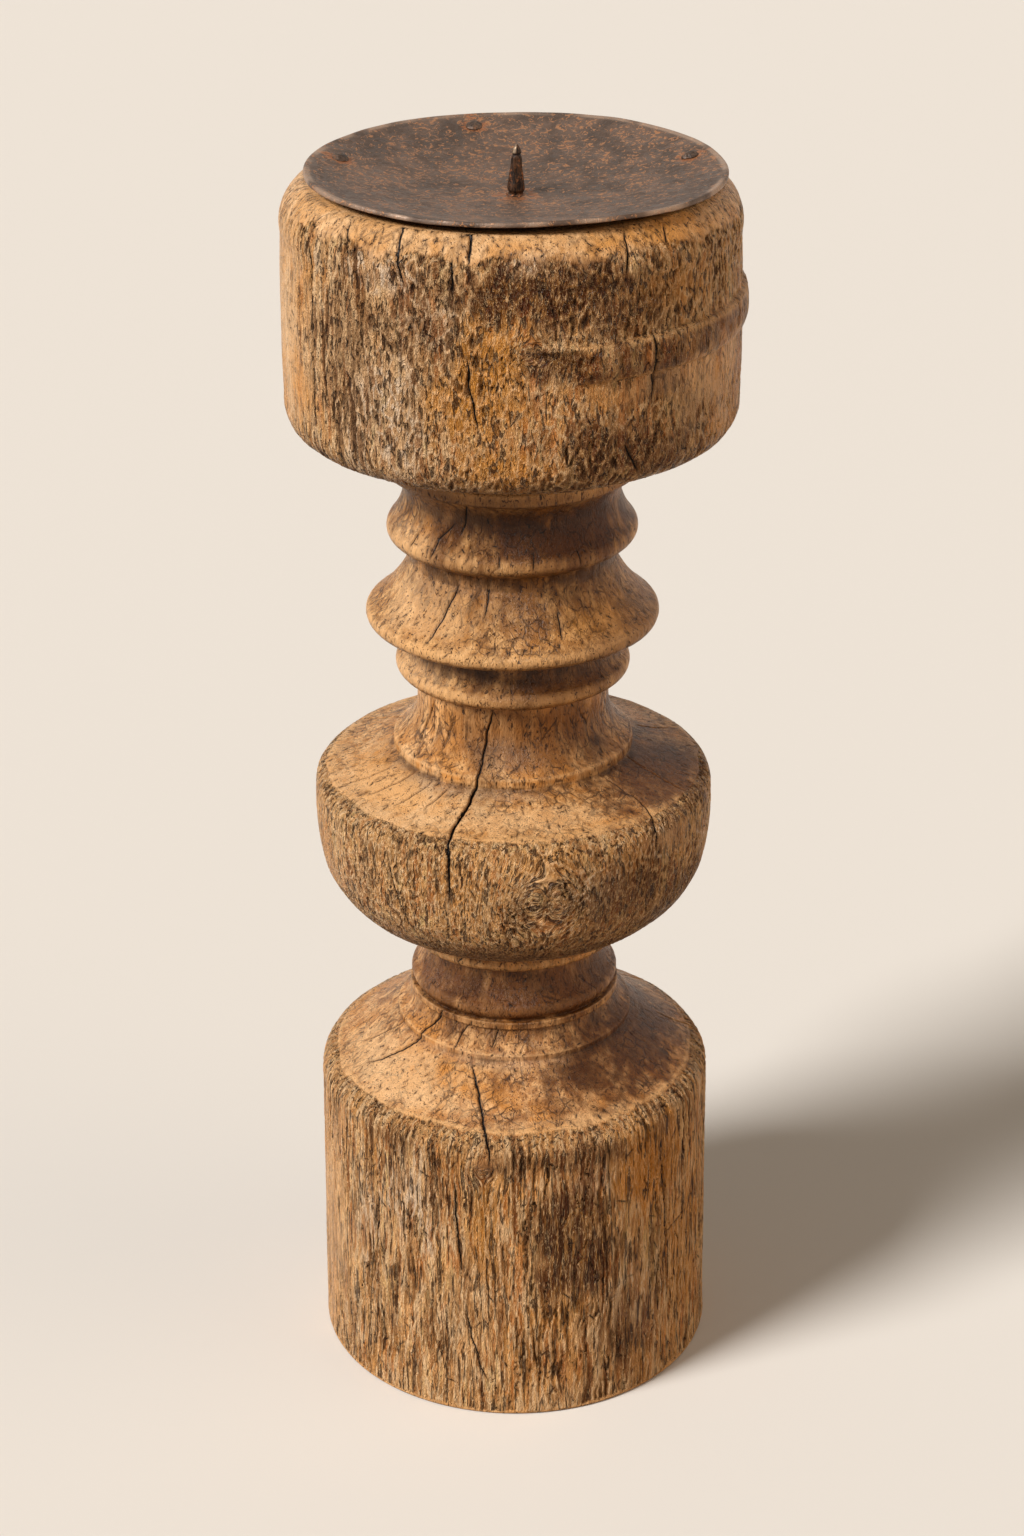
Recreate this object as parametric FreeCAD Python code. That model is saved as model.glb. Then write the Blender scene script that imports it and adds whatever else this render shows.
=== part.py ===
import FreeCAD, Part
import math
import os

# A pricket candle stand: four turned and weathered wooden pieces joined end to end by round
# tenons, and a dished iron pan held on top by a forged spike and three nails.
# Millimetres. The origin is the centre of the foot on the floor, +Z is up, -Y is the front.

# Base block, from the floor up. A rise is the height of one moulding over the one below it.
foot_radius = 105.2
foot_rounding = 1.2
base_side_height = 156.0
base_top_radius = 103.6
base_shoulder_radius = 94.5
base_shoulder_rise = 14.5
base_slope_rise = 22.1
base_ring_radius = 61.8
base_ring_height = 3.0
waist_cove_radius = 53.2
waist_cove_rise = 12.0
waist_fillet_radius = 54.8
waist_fillet_height = 3.6
waist_bead_radius = 51.8
waist_quirk_height = 1.2
waist_bead_height = 9.2
waist_neck_radius = 46.0
waist_neck_rise = 18.4

# Bowl block: the lip under the bowl, the bowl, and the neck that flares up from it.
lip_inner_radius = 54.0
lip_inner_rise = 1.8
lip_top_radius = 56.4
lip_height = 7.6
lip_quirk_height = 1.2
bowl_under_radius = 60.5
bowl_under_rise = 3.4
bowl_low_radius = 98.6
bowl_low_rise = 32.0
bowl_radius = 102.3
bowl_side_rise = 41.0
bowl_shoulder_radius = 94.0
bowl_shoulder_rise = 10.5
bowl_slope_rise = 11.1
bowl_groove_radius = 62.6
bowl_groove_rise = 0.8
neck_ring_radius = 61.2
neck_ring_height = 4.4
neck_ring_rounding = 1.4
neck_radius = 48.8
neck_flare_rise = 19.8
neck_straight_rise = 14.0

# Knop: lower bead, cone, upper bead and the collar that carries the head.
lower_bead_foot_radius = 52.0
lower_bead_radius = 56.6
lower_bead_under_rise = 1.8
lower_bead_height = 9.4
lower_cove_radius = 53.2
lower_cove_rise = 12.3
cone_radius = 71.0
cone_under_rise = 5.9
cone_edge_height = 8.6
cone_top_radius = 51.8
cone_rise = 25.0
cone_quirk_height = 6.6
upper_bead_under_radius = 57.0
upper_bead_under_rise = 3.4
upper_bead_radius = 60.6
upper_bead_height = 11.0
upper_cove_radius = 54.2
upper_cove_low_rise = 14.0
upper_cove_high_rise = 12.6
collar_radius = 64.2
collar_height = 5.0
collar_rounding = 1.2
collar_neck_radius = 57.5
collar_neck_rise = 6.0

# Head block, a drum with a half-round bead that survives on its right-hand side only.
head_seat_radius = 60.0
head_under_radius = 94.0
head_under_rise = 6.6
head_low_rise = 19.4
head_top_radius = 110.3
head_taper = 0.9
head_side_rise = 81.0
head_shoulder_rise = 23.6
head_shoulder_width = 11.7
bead_height = 19.0
bead_proud = 3.0
bead_root = 2.0
bead_rise = 72.5
bead_start_angle = -72.0
bead_end_angle = 100.0

# Drip pan, one dished disc of sheet iron, and the hollow in the head that it lies in. The hollow is
# a little to the right of the drum's axis, and the pan, the pricket and the nails keep to it.
pan_offset = 2.4
pan_overhang = 2.0
pan_thickness = 2.2
dish_curve_radius = 350.0
pan_rim_width = 9.6
pan_seat_clearance = 0.3

# Pricket, forged in one piece with the tang that is driven through the pan into the head.
pricket_burr_radius = 5.0
pricket_burr_height = 1.0
pricket_base_radius = 3.5
pricket_nick_radius = 2.2
pricket_shank_height = 18.4
pricket_nick_height = 0.8
pricket_nick_depth = 0.35
pricket_tip_height = 4.0
pricket_tip_radius = 0.5
pricket_flats = 8
pricket_flat_depth = 0.18
tang_radius = 2.9
tang_length = 48.0
tang_point_radius = 0.8

# Nails with round domed heads, driven square to the dish of the pan.
nail_margin = 12.4
nail_angles = {"back": 103.5, "left": 163.3, "right": 18.2}
nail_head_radius = 4.2
nail_head_height = 2.0
nail_shank_radius = 1.6
nail_point_radius = 0.4
nail_length = 28.0
nail_head_clearance = 0.1
driven_clearance = 0.15

# Round tenons and the blind mortises that they fit.
waist_tenon_radius = 25.0
waist_tenon_length = 62.0
neck_tenon_radius = 22.0
neck_tenon_length = 55.0
head_tenon_radius = 24.0
head_tenon_length = 58.0
tenon_chamfer = 2.0
mortise_clearance = 0.3
mortise_end_gap = 2.5

# How far each curved stretch bows out from its chord, as a share of the chord. A hollow is negative.
edge_bow_share = 0.2
half_round_bow_share = 0.28
lower_bead_bow_share = 0.31
upper_bead_bow_share = 0.33
cone_edge_bow_share = 0.35
shoulder_bow_share = 0.18
slope_bow_share = -0.025
cove_bow_share = -0.12
shallow_cove_bow_share = -0.06
waist_neck_bow_share = -0.09
deep_cove_bow_share = -0.16
bowl_under_bow_share = 0.13
bowl_side_bow_share = 0.038
head_under_bow_share = 0.24
head_side_bow_share = 0.008
pricket_point_bow_share = 0.1

# The drum's low end and its top, and the pan and its nails, which keep to the drum's rim.
head_low_radius = head_top_radius + head_taper
head_rim_radius = head_top_radius - head_shoulder_width
pan_bed_radius = head_rim_radius - pan_rim_width
pan_radius = head_rim_radius + pan_overhang
nail_circle_radius = pan_radius - nail_margin

# Levels at which one piece rests on the next, counted up from the floor.
base_shoulder_level = base_side_height + base_shoulder_rise
base_slope_level = base_shoulder_level + base_slope_rise
base_ring_level = base_slope_level + base_ring_height
waist_cove_level = base_ring_level + waist_cove_rise
waist_fillet_level = waist_cove_level + waist_fillet_height
waist_quirk_level = waist_fillet_level + waist_quirk_height
waist_bead_level = waist_quirk_level + waist_bead_height
waist_level = waist_bead_level + waist_neck_rise

lip_inner_level = waist_level + lip_inner_rise
lip_level = lip_inner_level + lip_height
lip_quirk_level = lip_level + lip_quirk_height
bowl_under_level = lip_quirk_level + bowl_under_rise
bowl_low_level = bowl_under_level + bowl_low_rise
bowl_side_level = bowl_low_level + bowl_side_rise
bowl_shoulder_level = bowl_side_level + bowl_shoulder_rise
bowl_slope_level = bowl_shoulder_level + bowl_slope_rise
bowl_groove_level = bowl_slope_level + bowl_groove_rise
neck_ring_level = bowl_groove_level + neck_ring_height
neck_ring_top_level = neck_ring_level + neck_ring_rounding
neck_flare_level = neck_ring_top_level + neck_flare_rise
neck_level = neck_flare_level + neck_straight_rise

lower_bead_under_level = neck_level + lower_bead_under_rise
lower_bead_level = lower_bead_under_level + lower_bead_height
lower_cove_level = lower_bead_level + lower_cove_rise
cone_under_level = lower_cove_level + cone_under_rise
cone_edge_level = cone_under_level + cone_edge_height
cone_level = cone_edge_level + cone_rise
cone_quirk_level = cone_level + cone_quirk_height
upper_bead_under_level = cone_quirk_level + upper_bead_under_rise
upper_bead_level = upper_bead_under_level + upper_bead_height
upper_cove_level = upper_bead_level + upper_cove_low_rise
collar_level = upper_cove_level + upper_cove_high_rise
collar_face_level = collar_level + collar_rounding
collar_top_level = collar_face_level + collar_height
head_level = collar_top_level + collar_rounding + collar_neck_rise

head_under_level = head_level + head_under_rise
head_low_level = head_under_level + head_low_rise
head_side_level = head_low_level + head_side_rise
head_rim_level = head_side_level + head_shoulder_rise
bead_level = head_level + bead_rise


def bowed_edge(start, end, bow_share):
    """One edge of an outline in the XZ plane: a line, or an arc bowed out by a share of its chord."""
    a = FreeCAD.Vector(start[0], 0, start[1])
    b = FreeCAD.Vector(end[0], 0, end[1])
    if bow_share == 0:
        return Part.LineSegment(a, b).toShape()
    chord = b - a
    outward = FreeCAD.Vector(chord.z, 0, -chord.x)
    middle = (a + b) * 0.5 + outward * bow_share
    return Part.Arc(a, middle, b).toShape()


def turned(steps, angle=360.0):
    """Solid of revolution about Z. Each step is (radius, level) or (radius, level, bow share)."""
    edges = []
    for start, end in zip(steps, steps[1:]):
        bow_share = end[2] if len(end) == 3 else 0
        edges.append(bowed_edge(start, end, bow_share))
    edges.append(bowed_edge(steps[-1], steps[0], 0))
    face = Part.Face(Part.Wire(edges))
    return face.revolve(FreeCAD.Vector(0, 0, 0), FreeCAD.Vector(0, 0, 1), angle)


def mortise(level, radius, length):
    """Blind round hole that goes down from a level to take a tenon of this radius and length."""
    depth = length + mortise_end_gap
    return Part.makeCylinder(radius + mortise_clearance, depth, FreeCAD.Vector(0, 0, level - depth))


def base_block():
    """Heavy cylinder with a sloping shoulder, topped by a ring, a cove and the waist bead."""
    body = turned([
        (0, 0),
        (foot_radius - foot_rounding, 0),
        (foot_radius, foot_rounding, edge_bow_share),
        (base_top_radius, base_side_height),
        (base_shoulder_radius, base_shoulder_level, shoulder_bow_share),
        (base_ring_radius, base_slope_level, slope_bow_share),
        (base_ring_radius, base_ring_level),
        (waist_cove_radius, waist_cove_level, cove_bow_share),
        (waist_fillet_radius, waist_cove_level),
        (waist_fillet_radius, waist_fillet_level),
        (waist_bead_radius, waist_fillet_level),
        (waist_bead_radius, waist_quirk_level),
        (waist_bead_radius, waist_bead_level, half_round_bow_share),
        (waist_neck_radius, waist_level, waist_neck_bow_share),
        (0, waist_level),
    ])
    return body.cut(mortise(waist_level, waist_tenon_radius, waist_tenon_length))


def bowl_block():
    """Bowl-shaped block with a flared neck above, and a tenon below that stands in the base."""
    tenon_foot = waist_level - waist_tenon_length
    body = turned([
        (0, tenon_foot),
        (waist_tenon_radius - tenon_chamfer, tenon_foot),
        (waist_tenon_radius, tenon_foot + tenon_chamfer),
        (waist_tenon_radius, waist_level),
        (waist_neck_radius, waist_level),
        (lip_inner_radius, lip_inner_level),
        (lip_top_radius, lip_level, half_round_bow_share),
        (lip_top_radius, lip_quirk_level),
        (bowl_under_radius, bowl_under_level),
        (bowl_low_radius, bowl_low_level, bowl_under_bow_share),
        (bowl_radius, bowl_side_level, bowl_side_bow_share),
        (bowl_shoulder_radius, bowl_shoulder_level, shoulder_bow_share),
        (bowl_groove_radius, bowl_slope_level, slope_bow_share),
        (neck_ring_radius, bowl_groove_level),
        (neck_ring_radius, neck_ring_level),
        (neck_ring_radius - neck_ring_rounding, neck_ring_top_level, edge_bow_share),
        (neck_radius, neck_flare_level, cove_bow_share),
        (neck_radius, neck_level),
        (0, neck_level),
    ])
    return body.cut(mortise(neck_level, neck_tenon_radius, neck_tenon_length))


def knop():
    """Beaded middle piece with a tenon at each end, one down into the neck and one up into the head."""
    tenon_foot = neck_level - neck_tenon_length
    tenon_head = head_level + head_tenon_length
    return turned([
        (0, tenon_foot),
        (neck_tenon_radius - tenon_chamfer, tenon_foot),
        (neck_tenon_radius, tenon_foot + tenon_chamfer),
        (neck_tenon_radius, neck_level),
        (lower_bead_foot_radius, neck_level),
        (lower_bead_radius, lower_bead_under_level),
        (lower_bead_radius, lower_bead_level, lower_bead_bow_share),
        (lower_cove_radius, lower_cove_level, cove_bow_share),
        (cone_radius, cone_under_level),
        (cone_radius, cone_edge_level, cone_edge_bow_share),
        (cone_top_radius, cone_level, shallow_cove_bow_share),
        (cone_top_radius, cone_quirk_level),
        (upper_bead_under_radius, upper_bead_under_level),
        (upper_bead_radius, upper_bead_level, upper_bead_bow_share),
        (upper_cove_radius, upper_cove_level, shallow_cove_bow_share),
        (collar_radius - collar_rounding, collar_level, deep_cove_bow_share),
        (collar_radius, collar_face_level, edge_bow_share),
        (collar_radius, collar_top_level),
        (collar_radius - collar_rounding, collar_top_level + collar_rounding, edge_bow_share),
        (collar_neck_radius, collar_top_level + collar_rounding),
        (collar_neck_radius, head_level),
        (head_tenon_radius, head_level),
        (head_tenon_radius, tenon_head - tenon_chamfer),
        (head_tenon_radius - tenon_chamfer, tenon_head),
        (0, tenon_head),
    ])


# The pan and the hollow under it are parts of spheres with one centre, over the pan's middle.
pan_curve = dish_curve_radius + pan_thickness
bed_curve = pan_curve + pan_seat_clearance
curve_centre_level = head_rim_level + math.sqrt(bed_curve**2 - pan_bed_radius**2)


def dish_level(curve, radius):
    """Height of a dished surface at a radius."""
    return curve_centre_level - math.sqrt(curve**2 - radius**2)


def dish_step(curve, start_radius, end_radius):
    """Step of an outline that follows a dished surface from one radius to another."""
    turn = math.asin(end_radius / curve) - math.asin(start_radius / curve)
    return (end_radius, dish_level(curve, end_radius), math.tan(turn / 4) / 2)


# The burr at the foot of the spike meets the dish along its edge, just above the pan's middle.
burr_level = dish_level(dish_curve_radius, pricket_burr_radius)
tang_foot_level = burr_level - tang_length
tang_hole_radius = tang_radius + driven_clearance


def head_bead():
    """What is left of a half-round bead round the drum, standing proud over part of its girth."""
    root = min(head_low_radius, head_top_radius) - bead_root
    crown = head_low_radius + bead_proud
    low = bead_level - bead_height / 2
    high = bead_level + bead_height / 2
    bow_share = (crown - root - bead_root) / bead_height
    face_radius = root + bead_root
    ring = turned([
        (root, low),
        (face_radius, low),
        (face_radius, high, bow_share),
        (root, high),
    ], bead_end_angle - bead_start_angle)
    return ring.rotate(FreeCAD.Vector(0, 0, 0), FreeCAD.Vector(0, 0, 1), bead_start_angle)


def in_pan(shape):
    """Moves a shape from the drum's axis to the middle of the pan."""
    moved = shape.copy()
    moved.translate(FreeCAD.Vector(pan_offset, 0, 0))
    return moved


def pan_hollow():
    """What is cut away for the pan: a dished hollow, with the hole for the tang under it."""
    hole_foot = tang_foot_level - driven_clearance
    return in_pan(turned([
        (0, hole_foot),
        (tang_point_radius + driven_clearance, hole_foot),
        (tang_hole_radius, dish_level(bed_curve, tang_hole_radius)),
        dish_step(bed_curve, tang_hole_radius, pan_radius),
        (0, dish_level(bed_curve, pan_radius)),
    ]))


def head_block():
    """Drum hollowed on top for the pan, and bored for the knop's tenon, the tang and the nails."""
    bore_radius = head_tenon_radius + mortise_clearance
    bore_top = head_level + head_tenon_length + mortise_end_gap
    drum = turned([
        (0, bore_top),
        (bore_radius, bore_top),
        (bore_radius, head_level),
        (head_seat_radius, head_level),
        (head_under_radius, head_under_level),
        (head_low_radius, head_low_level, head_under_bow_share),
        (head_top_radius, head_side_level, head_side_bow_share),
        (head_rim_radius, head_rim_level, shoulder_bow_share),
        (0, head_rim_level),
    ])
    return nailed(drum.cut(pan_hollow()).fuse(head_bead())).removeSplitter()


def drip_pan():
    """Dished disc of even thickness with a rounded rim, pierced for the tang and the nails."""
    inner_rim_radius = pan_radius * dish_curve_radius / pan_curve
    dish = turned([
        (tang_hole_radius, dish_level(pan_curve, tang_hole_radius)),
        dish_step(pan_curve, tang_hole_radius, pan_radius),
        (inner_rim_radius, dish_level(dish_curve_radius, inner_rim_radius), edge_bow_share),
        dish_step(dish_curve_radius, inner_rim_radius, tang_hole_radius),
    ])
    return nailed(in_pan(dish))


def nailed(shape):
    """The pan, or the wood under it, with the holes that the nails leave in it."""
    for angle in nail_angles.values():
        shape = shape.cut(placed_nail(nail_hole(), angle))
    return shape


def pricket():
    """Forged spike: a burr on the pan, an eight-sided shank, a nick and a worn point."""
    burr_top = burr_level + pricket_burr_height
    nick_low = burr_top + pricket_shank_height
    nick_high = nick_low + pricket_nick_height
    tip = nick_high + pricket_tip_height
    neck = pricket_nick_radius - pricket_nick_depth
    burr = turned([
        (0, burr_level),
        (pricket_burr_radius, burr_level),
        (pricket_base_radius, burr_top, cove_bow_share),
        (0, burr_top),
    ])
    shank = turned([
        (0, burr_top),
        (pricket_base_radius, burr_top),
        (pricket_nick_radius, nick_low),
        (0, nick_low),
    ])
    low_flats = flats_wire(pricket_base_radius - pricket_flat_depth, burr_top)
    high_flats = flats_wire(pricket_nick_radius - pricket_flat_depth, nick_low)
    shank = shank.common(Part.makeLoft([low_flats, high_flats], True, True))
    point = turned([
        (0, nick_low),
        (neck, nick_low),
        (neck, nick_high),
        (pricket_nick_radius, nick_high),
        (pricket_tip_radius, tip, pricket_point_bow_share),
        (0, tip + pricket_tip_radius),
    ])
    tang = turned([
        (0, tang_foot_level),
        (tang_point_radius, tang_foot_level),
        (tang_radius, dish_level(pan_curve, tang_hole_radius)),
        (tang_radius, burr_level),
        (0, burr_level),
    ])
    return in_pan(tang.fuse([burr, shank, point]).removeSplitter())


def flats_wire(inner_radius, level):
    """Closed polygon whose flats lie at the inner radius."""
    corner_radius = inner_radius / math.cos(math.pi / pricket_flats)
    turn = 2 * math.pi / pricket_flats
    corners = []
    for index in range(pricket_flats + 1):
        angle = index * turn
        x = corner_radius * math.cos(angle)
        y = corner_radius * math.sin(angle)
        corners.append(FreeCAD.Vector(x, y, level))
    return Part.makePolygon(corners)


def nail_hole():
    """Tapering hole that points down from the origin, for one nail's shank."""
    foot = -nail_length - driven_clearance
    return turned([
        (0, foot),
        (nail_point_radius + driven_clearance, foot),
        (nail_shank_radius + driven_clearance, 0),
        (nail_shank_radius + driven_clearance, nail_head_clearance),
        (0, nail_head_clearance),
    ])


def nail():
    """One nail, its domed head just over the origin plane and its shank pointing down."""
    dome_bow_share = math.tan(math.atan(nail_head_height / nail_head_radius) / 2) / 2
    return turned([
        (0, -nail_length),
        (nail_point_radius, -nail_length),
        (nail_shank_radius, 0),
        (nail_shank_radius, nail_head_clearance),
        (nail_head_radius, nail_head_clearance),
        (0, nail_head_clearance + nail_head_height, dome_bow_share),
    ])


def placed_nail(shape, angle):
    """Moves a nail or its hole to the inner face of the dish, square to it, at an angle round the pan."""
    tilt = math.asin(nail_circle_radius / dish_curve_radius)
    level = dish_level(dish_curve_radius, nail_circle_radius)
    origin = FreeCAD.Vector(0, 0, 0)
    placed = shape.copy()
    placed.rotate(origin, FreeCAD.Vector(0, 1, 0), -math.degrees(tilt))
    placed.translate(FreeCAD.Vector(nail_circle_radius, 0, level))
    placed.rotate(origin, FreeCAD.Vector(0, 0, 1), angle)
    return in_pan(placed)


def export(name, shape):
    shape.exportStep("parts/" + name + ".step")


os.makedirs("parts", exist_ok=True)
export("base_block", base_block())
export("bowl_block", bowl_block())
export("knop", knop())
export("head_block", head_block())
export("drip_pan", drip_pan())
export("pricket", pricket())
for side, angle in nail_angles.items():
    export("pan_nail_" + side, placed_nail(nail(), angle))
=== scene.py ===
import math

import bmesh
import bpy
import numpy as np
from mathutils import Matrix, Vector


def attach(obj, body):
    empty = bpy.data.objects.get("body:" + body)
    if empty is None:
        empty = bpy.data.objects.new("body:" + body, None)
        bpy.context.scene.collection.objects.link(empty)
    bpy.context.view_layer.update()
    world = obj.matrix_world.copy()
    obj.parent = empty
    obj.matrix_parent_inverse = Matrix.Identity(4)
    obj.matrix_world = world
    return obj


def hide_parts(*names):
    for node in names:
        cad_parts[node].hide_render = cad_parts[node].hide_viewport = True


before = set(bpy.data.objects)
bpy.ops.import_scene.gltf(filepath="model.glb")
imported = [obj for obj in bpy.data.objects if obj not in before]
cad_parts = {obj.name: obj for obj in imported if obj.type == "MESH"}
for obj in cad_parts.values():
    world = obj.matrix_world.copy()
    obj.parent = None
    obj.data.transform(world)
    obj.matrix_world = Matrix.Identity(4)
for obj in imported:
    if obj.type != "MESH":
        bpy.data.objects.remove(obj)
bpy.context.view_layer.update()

# Base block. The heavy foot of the stand: one length of hardwood turned in a lathe, with a
# sloping shoulder, a ring, a cove and a bead. Its side has weathered into deep wavy fibres,
# while the turned mouldings above stay smoother, with pores and drying checks.
base_joint_radius = 46.0
base_side = (3, 173.5)
base_edges = [(175.0, 1.3, 1.0), (209.5, 1.0, 0.5)]
base_scoops = [(3.2, 60.0, 1.05), (1.8, 24.0, 0.6)]
base_calm = [(-76, 80, 16, 90, 0.6), (-9, 155, 4, 5, 0.9), (160, 120, 20, 50, 0.5)]
base_knots = [(-9, 151, 5), (156, 116, 10)]

# A place on a turned piece is (degrees to the right of the front, mm up its surface from the lowest row in
# view). Each check is (width, depth, its path), and each stain, real or painted light and shade, is a place,
# how far it reaches to the sides and up, and its strength.
base_checks = [
    (1.0, 1.8, [(-20, 212), (-14, 196), (-9, 175), (-7.5, 162), (-7.5, 154)]),
    (1.0, 1.6, [(-42, 240), (-52, 221), (-54, 211), (-62, 194), (-66, 186)]),
    (0.6, 1.0, [(-70, 219), (-79, 190)]),
    (1.0, 1.6, [(-44, 122), (-45, 84)]),
    (0.8, 1.4, [(-18, 147), (-17, 118), (-16, 88)]),
    (0.6, 1.2, [(-15, 70), (-12, 42), (-8, 18)]),
    (0.8, 1.6, [(47, 152), (50, 108), (51, 66)]),
    (0.5, 1.0, [(50, 90), (61, 94)]),
    (0.5, 0.8, [(-24, 236), (-30, 226), (-31, 214)]),
    (0.5, 0.8, [(-8, 234), (-12, 221)]),
    (1.0, 1.8, [(128, 214), (133, 186), (131, 150), (133, 96)]),
    (0.8, 1.4, [(-150, 218), (-155, 188), (-153, 130), (-156, 70)]),
    (0.7, 1.2, [(96, 196), (99, 170), (98, 128)]),
    (0.7, 1.2, [(172, 120), (174, 72), (171, 30)]),
]
# The pale patches on the left, where the light falls, are partly painted light. The dark patches on the
# slope's right and round the waist below the bowl are painted shadow of the bowl; the other dark patches are
# real stains. The silver patches are partly painted glints.
base_patches = {
    "pale": [(-52, 192, 38, 20, 0.9), (-72, 90, 14, 90, 0.5), (20, 178, 30, 4, 0.4),
             (44, 138, 13, 24, 0.5), (150, 190, 40, 16, 0.4)],
    "ochre": [(42, 138, 16, 28, 1.3), (-8, 118, 6, 34, 0.45), (15, 62, 10, 30, 0.35),
              (62, 80, 14, 40, 0.5), (-130, 90, 16, 40, 0.5)],
    "dark": [(17, 104, 13, 46, 1.2), (16, 156, 26, 10, 0.7), (34, 40, 10, 30, 0.5), (72, 204, 66, 30, 1.1),
             (-40, 160, 12, 9, 0.4), (10, 255, 150, 24, 1.0), (-130, 150, 24, 16, 0.7),
             (150, 60, 18, 44, 0.6)],
    "silver": [(-30, 128, 9, 30, 0.8), (-48, 100, 6, 40, 0.5), (38, 60, 14, 30, 0.5), (24, 140, 8, 10, 0.6),
               (-20, 214, 60, 5, 0.6), (110, 110, 18, 50, 0.5)],
}


def section_outline(name, azimuth, least_radius, placement):
    """Points (radius, level) in mm of a turned node's outline, cut on one side of its axis."""
    turn = math.radians(azimuth)
    outward = Vector((math.sin(turn), -math.cos(turn), 0))
    across = Vector((math.cos(turn), math.sin(turn), 0))
    solid = bmesh.new()
    solid.from_mesh(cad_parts[name].data)
    bmesh.ops.remove_doubles(solid, verts=solid.verts, dist=1e-6)
    solid.transform(placement.inverted())
    parts = solid.verts[:] + solid.edges[:] + solid.faces[:]
    bmesh.ops.bisect_plane(solid, geom=parts, plane_co=(0, 0, 0), plane_no=across, clear_inner=True,
                           clear_outer=True)
    joined = {}
    for edge in solid.edges:
        a, b = edge.verts
        if min(a.co.dot(outward), b.co.dot(outward)) * 1000 > least_radius:
            joined.setdefault(a, []).append(b)
            joined.setdefault(b, []).append(a)
    ends = [vert for vert in joined if len(joined[vert]) == 1]
    chain = [min(ends, key=lambda vert: vert.co.z) if ends else min(joined, key=lambda vert: vert.co.z)]
    seen = set(chain)
    while True:
        onward = [vert for vert in joined[chain[-1]] if vert not in seen]
        if not onward:
            break
        chain.append(onward[0])
        seen.add(onward[0])
    outline = np.array([(vert.co.dot(outward), vert.co.z) for vert in chain]) * 1000
    solid.free()
    return outline


def wood_hides(joint_radius):
    """A rule for which runs of a wooden piece's outline are hidden: tenons, mortises and joint faces."""
    def hides(outline, first, last):
        run = outline[first:last + 1]
        flat = np.ptp(run[:, 1]) < 0.05
        lowest = run[:, 1].min() < outline[:, 1].min() + 0.1
        seated = flat and (lowest or run[:, 0].min() < joint_radius - 0.1)
        return seated or run[:, 0].max() < joint_radius + 0.1 or first >= highest(outline)
    return hides


def highest(outline):
    """Which point of an outline is the first at its top."""
    return int(np.argmax(outline[:, 1] > outline[:, 1].max() - 0.01))


def rows_of(outline, hides, stops, step, hidden_step=8.0):
    """The outline as evenly spaced rows that keep its corners, and which of them are in view."""
    keep = np.r_[True, np.linalg.norm(np.diff(outline, axis=0), axis=1) > 1e-3]
    outline = outline[keep]
    gaps = np.diff(outline, axis=0)
    heading = np.unwrap(np.arctan2(gaps[:, 1], gaps[:, 0]))
    corners = set(np.flatnonzero(np.abs(np.diff(heading)) > math.radians(16)) + 1)
    for stop in stops:
        corners.add(int(np.argmin(np.linalg.norm(outline - stop, axis=1))))
    stops = sorted(corners | {0, len(outline) - 1})
    rows = [outline[:1]]
    in_view = [np.array([False])]
    for first, last in zip(stops, stops[1:]):
        run = outline[first:last + 1]
        hidden = hides(outline, first, last)
        along = np.r_[0, np.cumsum(np.linalg.norm(np.diff(run, axis=0), axis=1))]
        count = max(1 if hidden else 5, round(along[-1] / (hidden_step if hidden else step)))
        places = np.linspace(0, along[-1], count + 1)
        run = np.stack([np.interp(places, along, run[:, 0]), np.interp(places, along, run[:, 1])], 1)
        for _ in range(2):
            run[1:-1] = (run[:-2] + 2 * run[1:-1] + run[2:]) / 4
        rows.append(run[1:])
        in_view.append(np.full(count, not hidden))
    return np.concatenate(rows), np.concatenate(in_view)


def soft_noise(places, seed):
    """Smooth noise, about -1 to 1, with lumps about one unit wide, at an array of places."""
    random = np.random.default_rng(seed)
    slopes = random.normal(size=(256, 3)).astype(np.float32)
    slopes /= np.linalg.norm(slopes, axis=1, keepdims=True)
    shuffle = random.permutation(256)
    places = places.astype(np.float32)
    cell = np.floor(places)
    inside = places - cell
    cell = cell.astype(np.int32)
    ease = inside * inside * inside * (inside * (inside * 6 - 15) + 10)
    total = np.zeros(len(places), np.float32)
    for corner in np.ndindex(2, 2, 2):
        x, y, z = (cell + corner).T & 255
        slope = slopes[shuffle[(shuffle[(shuffle[x] + y) & 255] + z) & 255]]
        reach = (slope * (inside - corner)).sum(1)
        total += reach * np.where(corner, ease, 1 - ease).prod(1)
    return total * 1.7


def steps_between(low, high, value):
    """0 below low and 1 above high, with a smooth change between."""
    share = np.clip((value - low) / (high - low), 0, 1)
    return share * share * (3 - 2 * share)


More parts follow.
